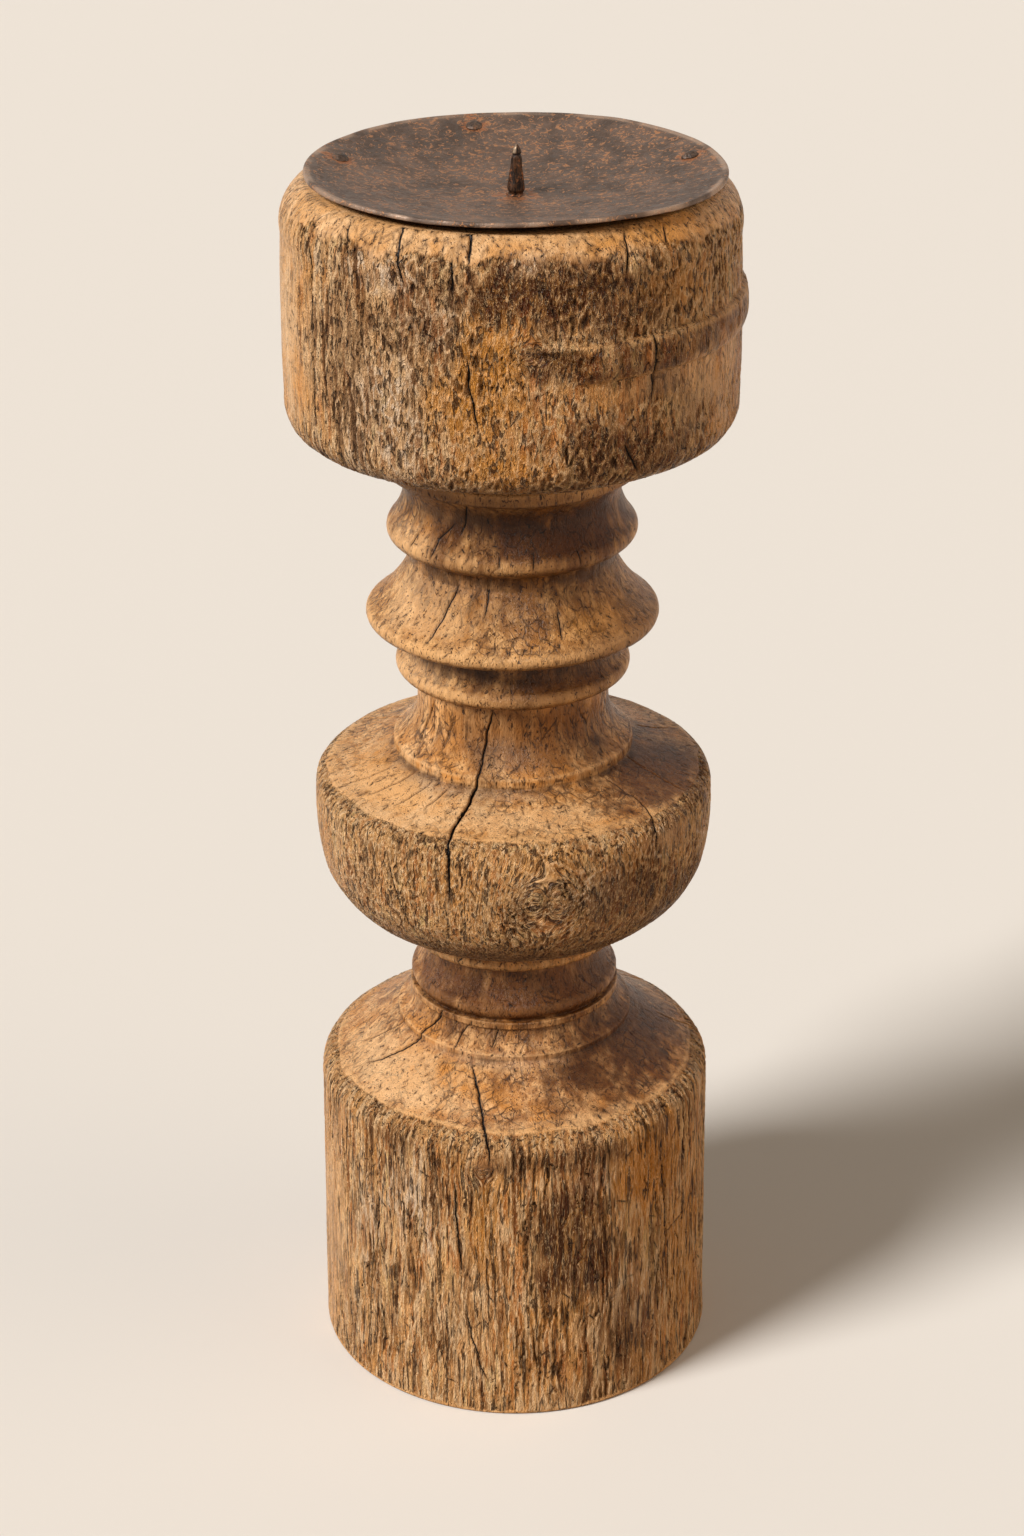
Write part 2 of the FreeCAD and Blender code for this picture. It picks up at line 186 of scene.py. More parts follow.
class Turned:
    """The surface of a turned piece as a grid of rows up its outline and columns round its axis. The outline
    is cut at an azimuth where the solid is whole, beyond its least radius."""

    def __init__(self, name, hides, step, stops=(), azimuth=-128.3, least_radius=4.0, placement=Matrix()):
        outline = section_outline(name, azimuth, least_radius, placement)
        rows, self.in_view = rows_of(outline, hides, stops, step)
        self.placement = placement
        self.radius, self.level = rows.T
        gaps = np.linalg.norm(np.diff(rows, axis=0), axis=1)
        self.along = np.r_[0, np.cumsum(gaps)]
        self.along -= self.along[np.argmax(self.in_view) - 1]
        tangent = np.gradient(rows, axis=0)
        tangent /= np.maximum(np.linalg.norm(tangent, axis=1, keepdims=True), 1e-9)
        self.outward = np.stack([tangent[:, 1], -tangent[:, 0]], 1)
        self.count = 4 * round(2 * math.pi * self.radius.max() / step / 4)
        self.azimuth = np.linspace(-180, 180, self.count, endpoint=False)
        self.shape = (len(rows), self.count)
        turn = np.radians(self.azimuth)
        grid = np.empty((*self.shape, 3), np.float32)
        grid[..., 0] = self.radius[:, None] * np.sin(turn)
        grid[..., 1] = -self.radius[:, None] * np.cos(turn)
        grid[..., 2] = self.level[:, None]
        self.places = grid.reshape(-1, 3)
        self.height = np.zeros(self.shape, np.float32)
        self.shift = np.zeros((*self.shape, 3), np.float32)
        ends = np.flatnonzero(self.in_view)
        margin = np.minimum(self.along - self.along[ends[0] - 1], self.along[ends[-1]] - self.along)
        self.fade = (steps_between(0, 3 * step, margin) * self.in_view)[:, None]
        self.marks = {}

    def noise(self, size, seed):
        """Noise over the surface, with lumps of a size in mm."""
        return soft_noise(self.places / np.array(size, np.float32), seed).reshape(self.shape)

    def between(self, low, high, soft, sway=0.0):
        """1 between two heights up the surface and 0 beyond them, with an edge that may wander."""
        along = self.along[:, None] + sway
        return steps_between(low - soft, low, along) * (1 - steps_between(high, high + soft, along))

    def turned_from(self, azimuth):
        """How far each column stands from an azimuth, in degrees to the right."""
        return (self.azimuth - azimuth + 180) % 360 - 180


def scoops(piece, width, length, sway, seed):
    """Long hollows side by side, with thin ridges between. Gives how far each place is from a ridge, 0 to 1,
    and a random number for each hollow."""
    table = np.random.default_rng(seed).uniform(0, 1, (4096, 3)).astype(np.float32)
    around = round(2 * math.pi * piece.radius.max() / width)
    u = (piece.azimuth / 360 + 0.5).astype(np.float32)[None, :] * around + sway[0] / width
    v = (piece.along / length).astype(np.float32)[:, None] + sway[1] / length
    cell_u = np.floor(u).astype(np.int64)
    cell_v = np.floor(v).astype(np.int64)
    first = np.full(piece.shape, 9.0, np.float32)
    second = first.copy()
    number = np.zeros(piece.shape, np.float32)
    for step_u, step_v in np.ndindex(3, 3):
        near_u = cell_u + step_u - 1
        near_v = cell_v + step_v - 1
        centre = table[((near_u % around) * 73856093 ^ near_v * 19349663) & 4095]
        distance = np.hypot(near_u + centre[..., 0] - u, near_v + centre[..., 1] - v)
        nearest = distance < first
        second = np.where(nearest, first, np.minimum(second, distance))
        number = np.where(nearest, centre[..., 2], number)
        first = np.where(nearest, distance, first)
    return np.clip(second - first, 0, 1), number


def patch_marks(piece, patches, seed):
    """Marks soft-edged patches of stain, some of which are painted light and shade, each (azimuth, height up
    the surface, half width in degrees, half height, strength)."""
    for number, (name, spots) in enumerate(patches.items()):
        total = np.zeros(piece.shape, np.float32)
        edge = 0.40 * piece.noise((14, 14, 26), seed + number)
        edge += 0.3 * piece.noise((4, 4, 10), seed + number + 20)
        for azimuth, along, wide, tall, strength in spots:
            across = piece.turned_from(azimuth) / wide
            upward = (piece.along - along) / tall
            distance = np.hypot(across[None, :], upward[:, None])
            total = np.maximum(total, strength * steps_between(1.25, 0.35, distance + edge))
        piece.marks[name] = total


def flow_round(piece, knots):
    """How far the grain is bent aside at each place, in mm across and up, as it runs round knots. Each knot
    is (azimuth, height up the surface, radius). The bend and the knots' rings are kept as marks for the
    material."""
    across = np.zeros(piece.shape, np.float32)
    upward = np.zeros(piece.shape, np.float32)
    rings = np.zeros(piece.shape, np.float32)
    sway = 0.9 * piece.noise((9, 9, 9), 300)
    for azimuth, along, radius in knots:
        x = np.radians(piece.turned_from(azimuth))[None, :] * piece.radius[:, None]
        y = (piece.along - along)[:, None]
        distance = x ** 2 + y ** 2
        pull = radius ** 2 / (distance + (0.5 * radius) ** 2) * np.exp(-distance / (3 * radius) ** 2)
        across -= x * pull
        upward += y * pull
        reach = np.sqrt(distance) / radius
        rings += (0.5 + 0.5 * np.cos(reach * 17 + 2.5 * sway)) * steps_between(1.5, 0.7, reach + 0.35 * sway)
    turn = np.radians(piece.azimuth)
    piece.marks["bend"] = np.stack([across * np.cos(turn), across * np.sin(turn), upward], -1)
    piece.marks["knot"] = rings
    return across, upward


def weather(piece, side, layers, seed, flutes=None, calm=(), knots=(), ragged=1.0):
    """Rots a side into hollows between two heights, and leaves faint tooling elsewhere. Each layer of
    hollows is (width, length, depth) in mm. Flutes are one stretch of longer hollows, (azimuth, half width
    in degrees, width, length, depth), and calm patches, given as stains are, keep more of their turned
    face."""

    # Where the side is rotted, how its grain wanders, and how deeply rot has eaten it.
    border = 5.0 * piece.noise((17, 17, 15), seed) + 2.5 * piece.noise((6, 6, 6), seed + 40)
    rough = piece.between(*side, 0.8 + 1.7 * ragged, ragged * border).astype(np.float32)
    patch_marks(piece, {"calm": calm}, seed + 50)
    rough *= 1 - piece.marks.pop("calm")
    flow = flow_round(piece, knots)
    bend = [flow[0] + piece.noise((13, 13, 22), seed + 1) * 2.4 + piece.noise((4, 4, 6), seed + 2) * 1.1,
            flow[1] + piece.noise((13, 13, 22), seed + 3) * 5.0 + piece.noise((4, 4, 6), seed + 4) * 1.8]
    eaten = 0.45 + 0.75 * steps_between(-0.5, 0.6, piece.noise((20, 20, 34), seed + 5))

    # The hollows, layer by layer, and the flutes.
    deepest = np.zeros(piece.shape, np.float32)
    ridge = np.ones(piece.shape, np.float32)
    tint = np.zeros(piece.shape, np.float32)
    total = sum(depth for _, _, depth in layers)
    for number, (width, length, depth) in enumerate(layers):
        gap, chance = scoops(piece, width, length, bend, seed + 10 + number)
        deepest += depth * steps_between(0.0, 0.6, gap) * (0.25 + 0.75 * chance) * eaten
        ridge = np.minimum(ridge, 1 - 0.9 * depth / total * steps_between(0.04, 0.4, gap))
        tint += depth / total * (chance - 0.5)
    if flutes:
        azimuth, half, width, length, depth = flutes
        place = np.abs(piece.turned_from(azimuth))[None, :] / half
        share = steps_between(1.2, 0.7, place + 0.25 * piece.noise((20, 20, 40), seed + 30))
        gap, chance = scoops(piece, width, length, bend, seed + 31)
        fluted = depth * steps_between(0, 0.6, gap) * (0.3 + 0.7 * chance) + 0.35 * deepest
        deepest += share * (fluted - deepest)
        ridge += share * (1 - 0.95 * steps_between(0.03, 0.35, gap) - ridge)
        tint += share * (chance - 0.5 - tint)

    # Long fine splits between the fibres, a slow swell of the side, and tooling on the turned faces.
    swayed = piece.places + np.stack([bend[0], bend[0], bend[1]], -1).reshape(-1, 3)
    split = np.abs(soft_noise(swayed / np.array((4.5, 4.5, 60), np.float32), seed + 6)).reshape(piece.shape)
    split = steps_between(0.055, 0.0, split) * steps_between(-0.1, 0.5, piece.noise((16, 16, 40), seed + 7))
    piece.height -= rough * (deepest + 1.3 * split)
    piece.height += rough * 0.40 * (piece.noise((26, 26, 55), seed + 8) - 0.3)
    tooling = 0.5 * piece.noise((2.4, 2.4, 3.2), seed + 12) + 0.5 * piece.noise((5, 5, 7), seed + 13)
    piece.height += (1 - rough) * (0.10 * tooling + 0.25 * piece.noise((40, 40, 30), seed + 14))
    piece.marks["fibre"] = rough
    piece.marks["pit"] = np.clip(rough * (1.2 * deepest / total + split), 0, 1)
    piece.marks["crest"] = rough * ridge
    piece.marks["tint"] = rough * tint


def sunk_and_worn(piece, edges=(), seed=0):
    """Marks the hollows of the outline and the faces that look down, darkened by grime and painted shade,
    and its crests, which are rubbed pale and carry a painted highlight. Edges are (height up the surface,
    half width, strength) of lines that are worn to a thin pale lip, which is also a painted highlight."""
    along = piece.along
    outline = np.stack([piece.radius, piece.level], 1)
    sunk = np.zeros(len(along))
    crest = np.zeros(len(along))
    for reach, share in ((3.0, 0.9), (8.0, 1.0), (24.0, 0.5)):
        around = np.empty_like(outline)
        for row, place in enumerate(along):
            weight = np.exp(-((along - place) / reach) ** 2) * np.gradient(along)
            around[row] = (outline * weight[:, None]).sum(0) / weight.sum()
        rise = ((outline - around) * piece.outward).sum(1) * 8.0 / reach
        sunk = np.maximum(sunk, share * steps_between(0.12, 1.5, -rise))
        crest = np.maximum(crest, 0.7 * share * steps_between(0.25, 2.2, rise))
    # Faces that look down are darkened as painted shade, and their crests get no pale.
    under = steps_between(-0.1, -0.8, piece.outward[:, 1])
    sunk = np.maximum(sunk, 0.6 * under)
    crest *= 1 - under
    wander = 1.0 * piece.noise((15, 15, 15), seed + 60) + 0.5 * piece.noise((4, 4, 4), seed + 61)
    rubbed = 0.4 + 0.6 * steps_between(-0.4, 0.3, piece.noise((8, 8, 8), seed + 62))
    # Edges worn to a thin pale lip, which also serves as a painted highlight.
    lip = np.zeros(piece.shape, np.float32)
    for place, half, strength in edges:
        miss = (along[:, None] + wander - place) / half
        lip = np.maximum(lip, strength * rubbed * np.exp(-miss ** 2))
    piece.height += 0.35 * lip
    piece.marks["hollow"] = np.broadcast_to(sunk[:, None], piece.shape).astype(np.float32)
    piece.marks["worn"] = np.maximum(crest[:, None], lip).astype(np.float32)


def cut_checks(piece, checks, seed):
    """Cuts drying checks, each (width, depth, [(azimuth, height up the surface), ...]) in mm and degrees.
    The signed distance to the nearest one and its half width are kept as marks, so that the material can
    draw it sharper than the mesh."""
    gap = np.full(piece.shape, 9.0, np.float32)
    half_width = np.zeros(piece.shape, np.float32)
    groove = np.zeros(piece.shape, np.float32)
    random = np.random.default_rng(seed)
    for width, depth, path in checks:
        path = np.array(path, float)
        reach = 4.0
        beside = (piece.along > path[:, 1].min() - reach) & (piece.along < path[:, 1].max() + reach)
        rows = np.flatnonzero(beside & piece.in_view)
        turn = math.degrees((reach + 2) / piece.radius[rows].min())
        centre = (path[:, 0].min() + path[:, 0].max()) / 2
        span = np.ptp(path[:, 0]) / 2 + turn
        offset = piece.turned_from(centre)
        columns = np.flatnonzero(np.abs(offset) < span)
        azimuth = offset[columns][None, :]
        along = piece.along[rows][:, None]
        per_degree = (piece.radius[rows] * math.pi / 180)[:, None]
        length = np.r_[0, np.cumsum(np.hypot(np.diff(path[:, 0]) * per_degree.mean(), np.diff(path[:, 1])))]
        phase = random.uniform(0, 1000)
        wander = min(1.0, length[-1] / 30)
        where = np.stack([np.full(len(rows), phase), np.zeros(len(rows)), piece.along[rows]], 1)
        drift = (soft_noise(where / 9, 5) * 0.9 + soft_noise(where / 2.6, 6) * 0.30)[:, None] * wander
        best = np.full((len(rows), len(columns)), 99.0)
        side = np.ones_like(best)
        share = np.zeros_like(best)
        for index in range(len(path) - 1):
            (start, low), (end, high) = path[index], path[index + 1]
            run_x = (end - start) * per_degree
            run_y = high - low
            from_x = (azimuth - (start - centre)) * per_degree + drift
            from_y = along - low
            part = np.clip((from_x * run_x + from_y * run_y) / (run_x ** 2 + run_y ** 2), 0, 1)
            miss = np.hypot(from_x - part * run_x, from_y - part * run_y)
            nearer = miss < best
            best = np.where(nearer, miss, best)
            side = np.where(nearer, np.sign(from_x * run_y - from_y * run_x), side)
            at = (length[index] + part * (length[index + 1] - length[index])) / length[-1]
            share = np.where(nearer, at, share)
        taper = np.clip(5 * np.minimum(share, 1 - share), 0, 1) ** 0.6
        half = width / 2 * taper
        window = np.ix_(rows, columns)
        closer = best - half < np.abs(gap[window]) - half_width[window]
        gap[window] = np.where(closer, best * side, gap[window])
        half_width[window] = np.where(closer, half, half_width[window])
        dip = depth * taper * np.clip(1 - best / (half + 0.45), 0, 1)
        groove[window] = np.maximum(groove[window], dip)
    piece.height -= groove
    near = (np.abs(gap) < half_width + 1.0).astype(np.float32)
    piece.marks["check"] = np.stack([np.clip(gap, -4, 4), near, half_width], -1)


def pores(piece, count, low, high, seed, length=(1.0, 3.6), width=(0.2, 0.56), tilt=30):
    """Short dark pores and flecks scattered over a stretch of the surface, mostly along the grain."""
    random = np.random.default_rng(seed)
    found = []
    share = piece.radius * piece.in_view * (piece.along >= low) * (piece.along <= high)
    share = np.cumsum(share * np.gradient(piece.along))
    for _ in range(count):
        row = int(np.searchsorted(share, random.uniform(0, share[-1])))
        azimuth = random.uniform(-176, 176)
        half = random.uniform(*length) / 2
        lean = math.radians(random.normal(0, tilt))
        across = math.degrees(half * math.sin(lean) / piece.radius[row])
        rise = half * math.cos(lean)
        place = piece.along[row]
        ends = [(azimuth - across, place - rise), (azimuth + across, place + rise)]
        found.append((random.uniform(*width), 0.25, ends))
    return found


def make_mesh(piece, name):
    """Builds the piece's closed surface from its grid, with its marks as attributes and an unrolled map."""
    height = piece.height * piece.fade
    radius = piece.radius[:, None] + height * piece.outward[:, :1]
    level = piece.level[:, None] + height * piece.outward[:, 1:]
    turn = np.radians(piece.azimuth)
    rows, columns = piece.shape
    points = np.stack([radius * np.sin(turn), -radius * np.cos(turn), level], -1) + piece.shift
    ends = np.stack([points[0].mean(0), points[-1].mean(0)])
    points = np.concatenate([points.reshape(-1, 3), ends]) / 1000
    here = np.arange(rows * columns).reshape(rows, columns)
    beside = np.roll(here, -1, axis=1)
    quads = np.stack([here[:-1], beside[:-1], beside[1:], here[1:]], -1).reshape(-1, 4)
    foot = np.stack([beside[0], here[0], np.full(columns, rows * columns)], -1)
    top = np.stack([here[-1], beside[-1], np.full(columns, rows * columns + 1)], -1)
    corners = np.concatenate([quads.ravel(), foot.ravel(), top.ravel()])
    starts = np.concatenate([np.arange(len(quads)) * 4, len(quads) * 4 + np.arange(2 * columns) * 3])
    mesh = bpy.data.meshes.new(name)
    mesh.vertices.add(len(points))
    mesh.vertices.foreach_set("co", points.astype(np.float32).ravel())
    mesh.loops.add(len(corners))
    mesh.loops.foreach_set("vertex_index", corners.astype(np.int32))
    mesh.polygons.add(len(starts))
    mesh.polygons.foreach_set("loop_start", starts.astype(np.int32))
    mesh.update(calc_edges=True)
    mesh.validate()
    mesh.shade_smooth()
    mesh.transform(piece.placement)
    for mark, values in piece.marks.items():
        vector = values.ndim == 3
        padded = np.zeros((len(points), 3) if vector else len(points), np.float32)
        padded[:rows * columns] = values.reshape(rows * columns, *values.shape[2:])
        layer = mesh.attributes.new(mark, "FLOAT_VECTOR" if vector else "FLOAT", "POINT")
        layer.data.foreach_set("vector" if vector else "value", padded.ravel())
    upward = (piece.along - piece.along[0]) / np.ptp(piece.along)
    row = np.tile([0, 0, 1, 1], (rows - 1) * columns) + np.repeat(np.arange(rows - 1), columns * 4)
    column = np.tile([0, 1, 1, 0], (rows - 1) * columns)
    column += np.tile(np.repeat(np.arange(columns), 4), rows - 1)
    unrolled = [np.stack([column / columns, upward[row]], -1)]
    for order, row in (((1, 0, 0), 0), ((0, 1, 0), -1)):
        column = (np.arange(columns)[:, None] + order).ravel()
        unrolled.append(np.stack([column / columns, np.full(len(column), upward[row])], -1))
    layer = mesh.uv_layers.new(name="OFBake")
    layer.uv.foreach_set("vector", np.concatenate(unrolled).astype(np.float32).ravel())
    part = bpy.data.objects.new(name, mesh)
    bpy.context.scene.collection.objects.link(part)
    return part


def linear(code):
    """An sRGB hex colour as the linear red, green, blue and alpha that nodes take."""
    parts = [int(code[place:place + 2], 16) / 255 for place in (1, 3, 5)]
    return [p / 12.92 if p <= 0.04045 else ((p + 0.055) / 1.055) ** 2.4 for p in parts] + [1.0]


def node(tree, kind, settings=None, **values):
    """Adds a node and gives back its main output. Settings are its own, and values go to its inputs by name
    or number: another node's output is linked, and a number or a hex colour is set."""
    added = tree.nodes.new("ShaderNode" + kind)
    for key, value in (settings or {}).items():
        setattr(added, key, value)
    for key, value in values.items():
        target = added.inputs[int(key[1:])] if key[0] == "_" else added.inputs[key.replace("_", " ")]
        if isinstance(value, bpy.types.NodeSocket):
            tree.links.new(value, target)
        else:
            target.default_value = linear(value) if isinstance(value, str) else value
    return next((output for output in added.outputs if output.enabled), None)


def new_material(name):
    """A new material with no nodes yet, and its tree."""
    material = bpy.data.materials.new(name)
    material.use_nodes = True
    material.node_tree.nodes.clear()
    return material, material.node_tree


def stained(tree, colour, tint, pattern, low, high, most=1.0, where=1.0):
    """A layer of stain. Its tint covers a colour from none to most, smoothly between two levels of a
    pattern, and only where another share lets it."""
    share = node(tree, "MapRange", {"interpolation_type": "SMOOTHSTEP"}, Value=pattern, From_Min=low,
                 From_Max=high, To_Max=most)
    share = node(tree, "Math", {"operation": "MULTIPLY", "use_clamp": True}, _0=share, _1=where)
    return node(tree, "Mix", {"data_type": "RGBA"}, _0=share, _6=colour, _7=tint)


def turned_hardwood(name, pale, middle, deep, glaze, pith, strand=6.5):
    """Old hardwood, turned and oiled. To the eye it is honey brown with darker fibres, near-black pits and
    checks, grime and painted shade in the hollows, and rubbed pale crests and ridges with painted
    highlights, under a low gloss."""
    material, tree = new_material(name)
    colours = {"data_type": "RGBA"}
    smooth = {"interpolation_type": "SMOOTHSTEP"}
    product = {"operation": "MULTIPLY", "use_clamp": True}
    sum_up = {"operation": "MULTIPLY_ADD"}
    marks = {}
    for mark in ("bend", "fibre", "crest", "worn", "hollow", "tint", "pit", "pale", "ochre", "dark",
                 "silver", "knot", "check"):
        marks[mark] = node(tree, "Attribute", {"attribute_name": mark})
    fibre = marks["fibre"]
    dark = marks["dark"]
    place = node(tree, "TexCoord").node.outputs["Object"]
    millimetres = node(tree, "VectorMath", sum_up, _0=place, _1=(1000, 1000, 1000), _2=marks["bend"])

    # The patterns of the wood: the size of each in mm across the grain and along it, and its noise's detail,
    # roughness and distortion. Slits, pores and the fine curl are drawn about twice as coarse as real ones,
    # so that they show.
    grain = {}
    for pattern, across, along, detail, roughness, distortion in (
        ("streak", 5, 50, 4.0, 0.6, 0.6),
        ("cloud", 30, 50, 3.0, 0.55, 0.5),
        ("thread", 1.5, 11, 3.0, 0.6, 0.8),
        ("hue", 4, 55, 3.0, 0.65, 0.5),
        ("dull", 7, 70, 4.0, 0.65, 0.4),
        ("clear", 14, 14, 2.0, 0.5, 0.0),
        ("sway", 6, 6, 2.0, 0.5, 0.0),
        ("grime_and_shade", 9, 9, 4.0, 0.6, 0.0),
        ("slit", 1.9, strand, 1.5, 0.5, 0.9),
        ("pore", 1.3, 3.4, 1.0, 0.5, 1.2),
        ("curl", 1.7, strand / 1.3, 2.0, 0.6, 1.2),
        ("hair", 0.7, 3.2, 2.0, 0.6, 0.7),
    ):
        shrink = (1 / across, 1 / across, 1 / along)
        place = node(tree, "VectorMath", {"operation": "MULTIPLY"}, _0=millimetres, _1=shrink)
        grain[pattern] = node(tree, "TexNoise", None, Vector=place, Scale=1.0, Detail=detail,
                              Roughness=roughness, Distortion=distortion)

    # Growth: light and dark fibres, and broad clouds of colour.
    colour = stained(tree, middle, pale, grain["streak"], 0.38, 0.62)
    colour = stained(tree, colour, glaze, grain["cloud"], 0.48, 0.64, 0.75)
    colour = stained(tree, colour, deep, grain["cloud"], 0.46, 0.32, 0.55)
    colour = stained(tree, colour, deep, grain["thread"], 0.50, 0.68, 0.65)

    # Weathered fibres are lighter, with streaks stained orange, bleached grey or dull.
    lighter = node(tree, "Math", product, _0=fibre, _1=0.22)
    colour = node(tree, "Mix", colours, _0=lighter, _6=colour, _7="#f2b873")
    colour = stained(tree, colour, "#b56a2c", grain["hue"], 0.51, 0.62, 0.75, fibre)
    colour = stained(tree, colour, "#a58a70", grain["hue"], 0.44, 0.34, 0.2, fibre)
    colour = stained(tree, colour, deep, grain["dull"], 0.52, 0.62, 0.42, fibre)
    bleach = node(tree, "MapRange", None, Value=fibre, To_Min=1.0, To_Max=1.28)
    colour = node(tree, "VectorMath", {"operation": "SCALE"}, _0=colour, Scale=bleach)
    colour = node(tree, "VectorMath", {"operation": "MINIMUM"}, _0=colour, _1=(0.9, 0.9, 0.9))

    # Growth rings round a pith outside the piece, 4 mm apart, show as slanting lines on the turned faces,
    # here and there.
    place = node(tree, "VectorMath", {"operation": "ADD"}, _0=millimetres, _1=(*pith, 0.0))
    place = node(tree, "VectorMath", {"operation": "MULTIPLY"}, _0=place, _1=(1.0, 1.0, 0.12))
    rings = node(tree, "TexWave", {"wave_type": "RINGS", "rings_direction": "Z", "wave_profile": "SAW"},
                 Vector=place, Scale=0.06, Distortion=7.0, Detail=4.0, Detail_Scale=0.35,
                 Detail_Roughness=0.65)
    even = node(tree, "Math", {"operation": "SUBTRACT", "use_clamp": True}, _0=1.0, _1=fibre)
    clear = node(tree, "MapRange", smooth, Value=grain["clear"], From_Min=0.38, From_Max=0.62)
    clear = node(tree, "Math", product, _0=clear, _1=even)
    colour = stained(tree, colour, deep, rings, 0.55, 1.0, 0.50, clear)

    # Crazing: fine cracks on those faces, 6 mm apart across the grain and 20 mm along it.
    sway = grain["sway"].node.outputs["Color"]
    place = node(tree, "VectorMath", sum_up, _0=sway, _1=(5, 5, 5), _2=millimetres)
    place = node(tree, "VectorMath", {"operation": "MULTIPLY"}, _0=place, _1=(1 / 6, 1 / 6, 1 / 20))
    craze = node(tree, "TexVoronoi", {"feature": "DISTANCE_TO_EDGE"}, Vector=place, Scale=1.0)
    craze = node(tree, "MapRange", smooth, Value=craze, From_Min=0.065, From_Max=0.018, To_Max=0.75)
    craze = node(tree, "Math", product, _0=craze, _1=clear)
    colour = node(tree, "Mix", colours, _0=craze, _6=colour, _7="#341d0e")

    # The pale wear of edges and crests, partly a painted highlight; this piece's own patches, with painted
    # light on pale ones, painted shade on dark ones and painted glints on silver ones; the same pale again
    # through those as a painted highlight; and then grime and painted shade in the hollows of its outline.
    for mark, strength, tint in (
        ("worn", 0.62, "#e6b67c"),
        ("pale", 0.65, "#e8bd8b"),
        ("ochre", 0.75, "#d6963c"),
        ("dark", 0.45, "#58361b"),
        ("silver", 0.45, "#bd9d80"),
        ("knot", 0.65, "#4a2c16"),
        ("worn", 0.372, "#dda871"),
    ):
        share = node(tree, "Math", product, _0=marks[mark], _1=strength)
        colour = node(tree, "Mix", colours, _0=share, _6=colour, _7=tint)
    # Grime and painted shade darken the hollows of the outline and the faces that look down.
    colour = stained(tree, colour, "#4a2d15", grain["grime_and_shade"], 0.28, 0.60, 0.85, marks["hollow"])

    # The rotted side: some of its small hollows are redder and some greyer, and their floors are dark.
    for least, full, most, tint in ((0.05, 0.4, 0.6, "#8c4f22"), (-0.05, -0.4, 0.15, "#7c6046")):
        share = node(tree, "MapRange", None, Value=marks["tint"], From_Min=least, From_Max=full, To_Max=most)
        colour = node(tree, "Mix", colours, _0=share, _6=colour, _7=tint)
    pit = node(tree, "MapRange", smooth, Value=marks["pit"], From_Min=0.2, From_Max=1.0, To_Max=0.78)
    colour = node(tree, "Mix", colours, _0=pit, _6=colour, _7="#42250f")

    # The dark patches, real stain and painted shade, soak in there. The ridges stand out of them golden, and
    # elsewhere pale, partly bleached wood and partly a painted highlight.
    soaked = node(tree, "MapRange", None, Value=fibre, To_Min=0.80, To_Max=1.0)
    soaked = node(tree, "Math", product, _0=soaked, _1=dark)
    colour = node(tree, "Mix", {"data_type": "RGBA", "blend_type": "MULTIPLY"}, _0=soaked, _6=colour,
                  _7="#8f7049")
    ridge = node(tree, "MapRange", smooth, Value=marks["crest"], From_Min=0.60, From_Max=0.94, To_Max=0.8)
    pale_ridge = node(tree, "Math", sum_up, _0=dark, _1=-0.9, _2=1.0)
    pale_ridge = node(tree, "Math", product, _0=pale_ridge, _1=ridge)
    golden_ridge = node(tree, "Math", product, _0=dark, _1=ridge)
    golden_ridge = node(tree, "Math", product, _0=golden_ridge, _1=0.8)
    # Painted white glints on the ridges in the silver patches.
    silver_ridge = node(tree, "Math", product, _0=marks["silver"], _1=pale_ridge)
    for share, tint in ((pale_ridge, "#f6cd9c"), (golden_ridge, "#b07a3e"), (silver_ridge, "#eed6bd")):
        colour = node(tree, "Mix", colours, _0=share, _6=colour, _7=tint)

    # The ochre stain also soaks the rims of the hollows, so it comes again over them.
    ochre = node(tree, "Math", product, _0=marks["ochre"], _1=0.6)
    colour = node(tree, "Mix", {"data_type": "RGBA", "blend_type": "COLOR"}, _0=ochre, _6=colour,
                  _7="#c07a2a")

    # Slits between the fibres, one strand long, and a fine curl that catches the light. On the turned faces
    # fewer and smaller slits are the open ends of pores.
    slit = node(tree, "MapRange", smooth, Value=grain["slit"], From_Min=0.565, From_Max=0.625)
    slit = node(tree, "Math", product, _0=slit, _1=fibre)
    pore = node(tree, "MapRange", smooth, Value=grain["pore"], From_Min=0.63, From_Max=0.67)
    pore = node(tree, "Math", product, _0=pore, _1=even)
    slit = node(tree, "Math", {"operation": "MAXIMUM"}, _0=slit, _1=pore)
    share = node(tree, "Math", product, _0=slit, _1=0.85)
    colour = node(tree, "Mix", colours, _0=share, _6=colour, _7="#331b0c")
    curl = node(tree, "Math", {"operation": "SUBTRACT"}, _0=grain["curl"], _1=0.5)
    curl = node(tree, "Math", {"operation": "ABSOLUTE"}, _0=curl)
    colour = stained(tree, colour, "#4b2c15", curl, 0.03, 0.14, 0.20, fibre)
    colour = stained(tree, colour, "#f3ca96", curl, 0.035, 0.010, 0.75, marks["crest"])

    # Drying checks and pores are drawn from their distance, sharper than the mesh: black with brown lips.
    signed_gap, beside, half_width = node(tree, "SeparateXYZ", None, Vector=marks["check"]).node.outputs
    gap = node(tree, "Math", {"operation": "ABSOLUTE"}, _0=signed_gap)
    gap = node(tree, "Math", {"operation": "SUBTRACT"}, _0=gap, _1=half_width)
    near = node(tree, "Math", {"operation": "GREATER_THAN"}, _0=beside, _1=0.5)
    colour = stained(tree, colour, "#4f301c", gap, 1.0, 0.2, 0.35, near)
    wide = node(tree, "MapRange", smooth, Value=half_width, From_Max=0.30)
    wide = node(tree, "Math", product, _0=wide, _1=near)
    colour = stained(tree, colour, "#120a05", gap, 0.14, -0.08, 1.0, wide)

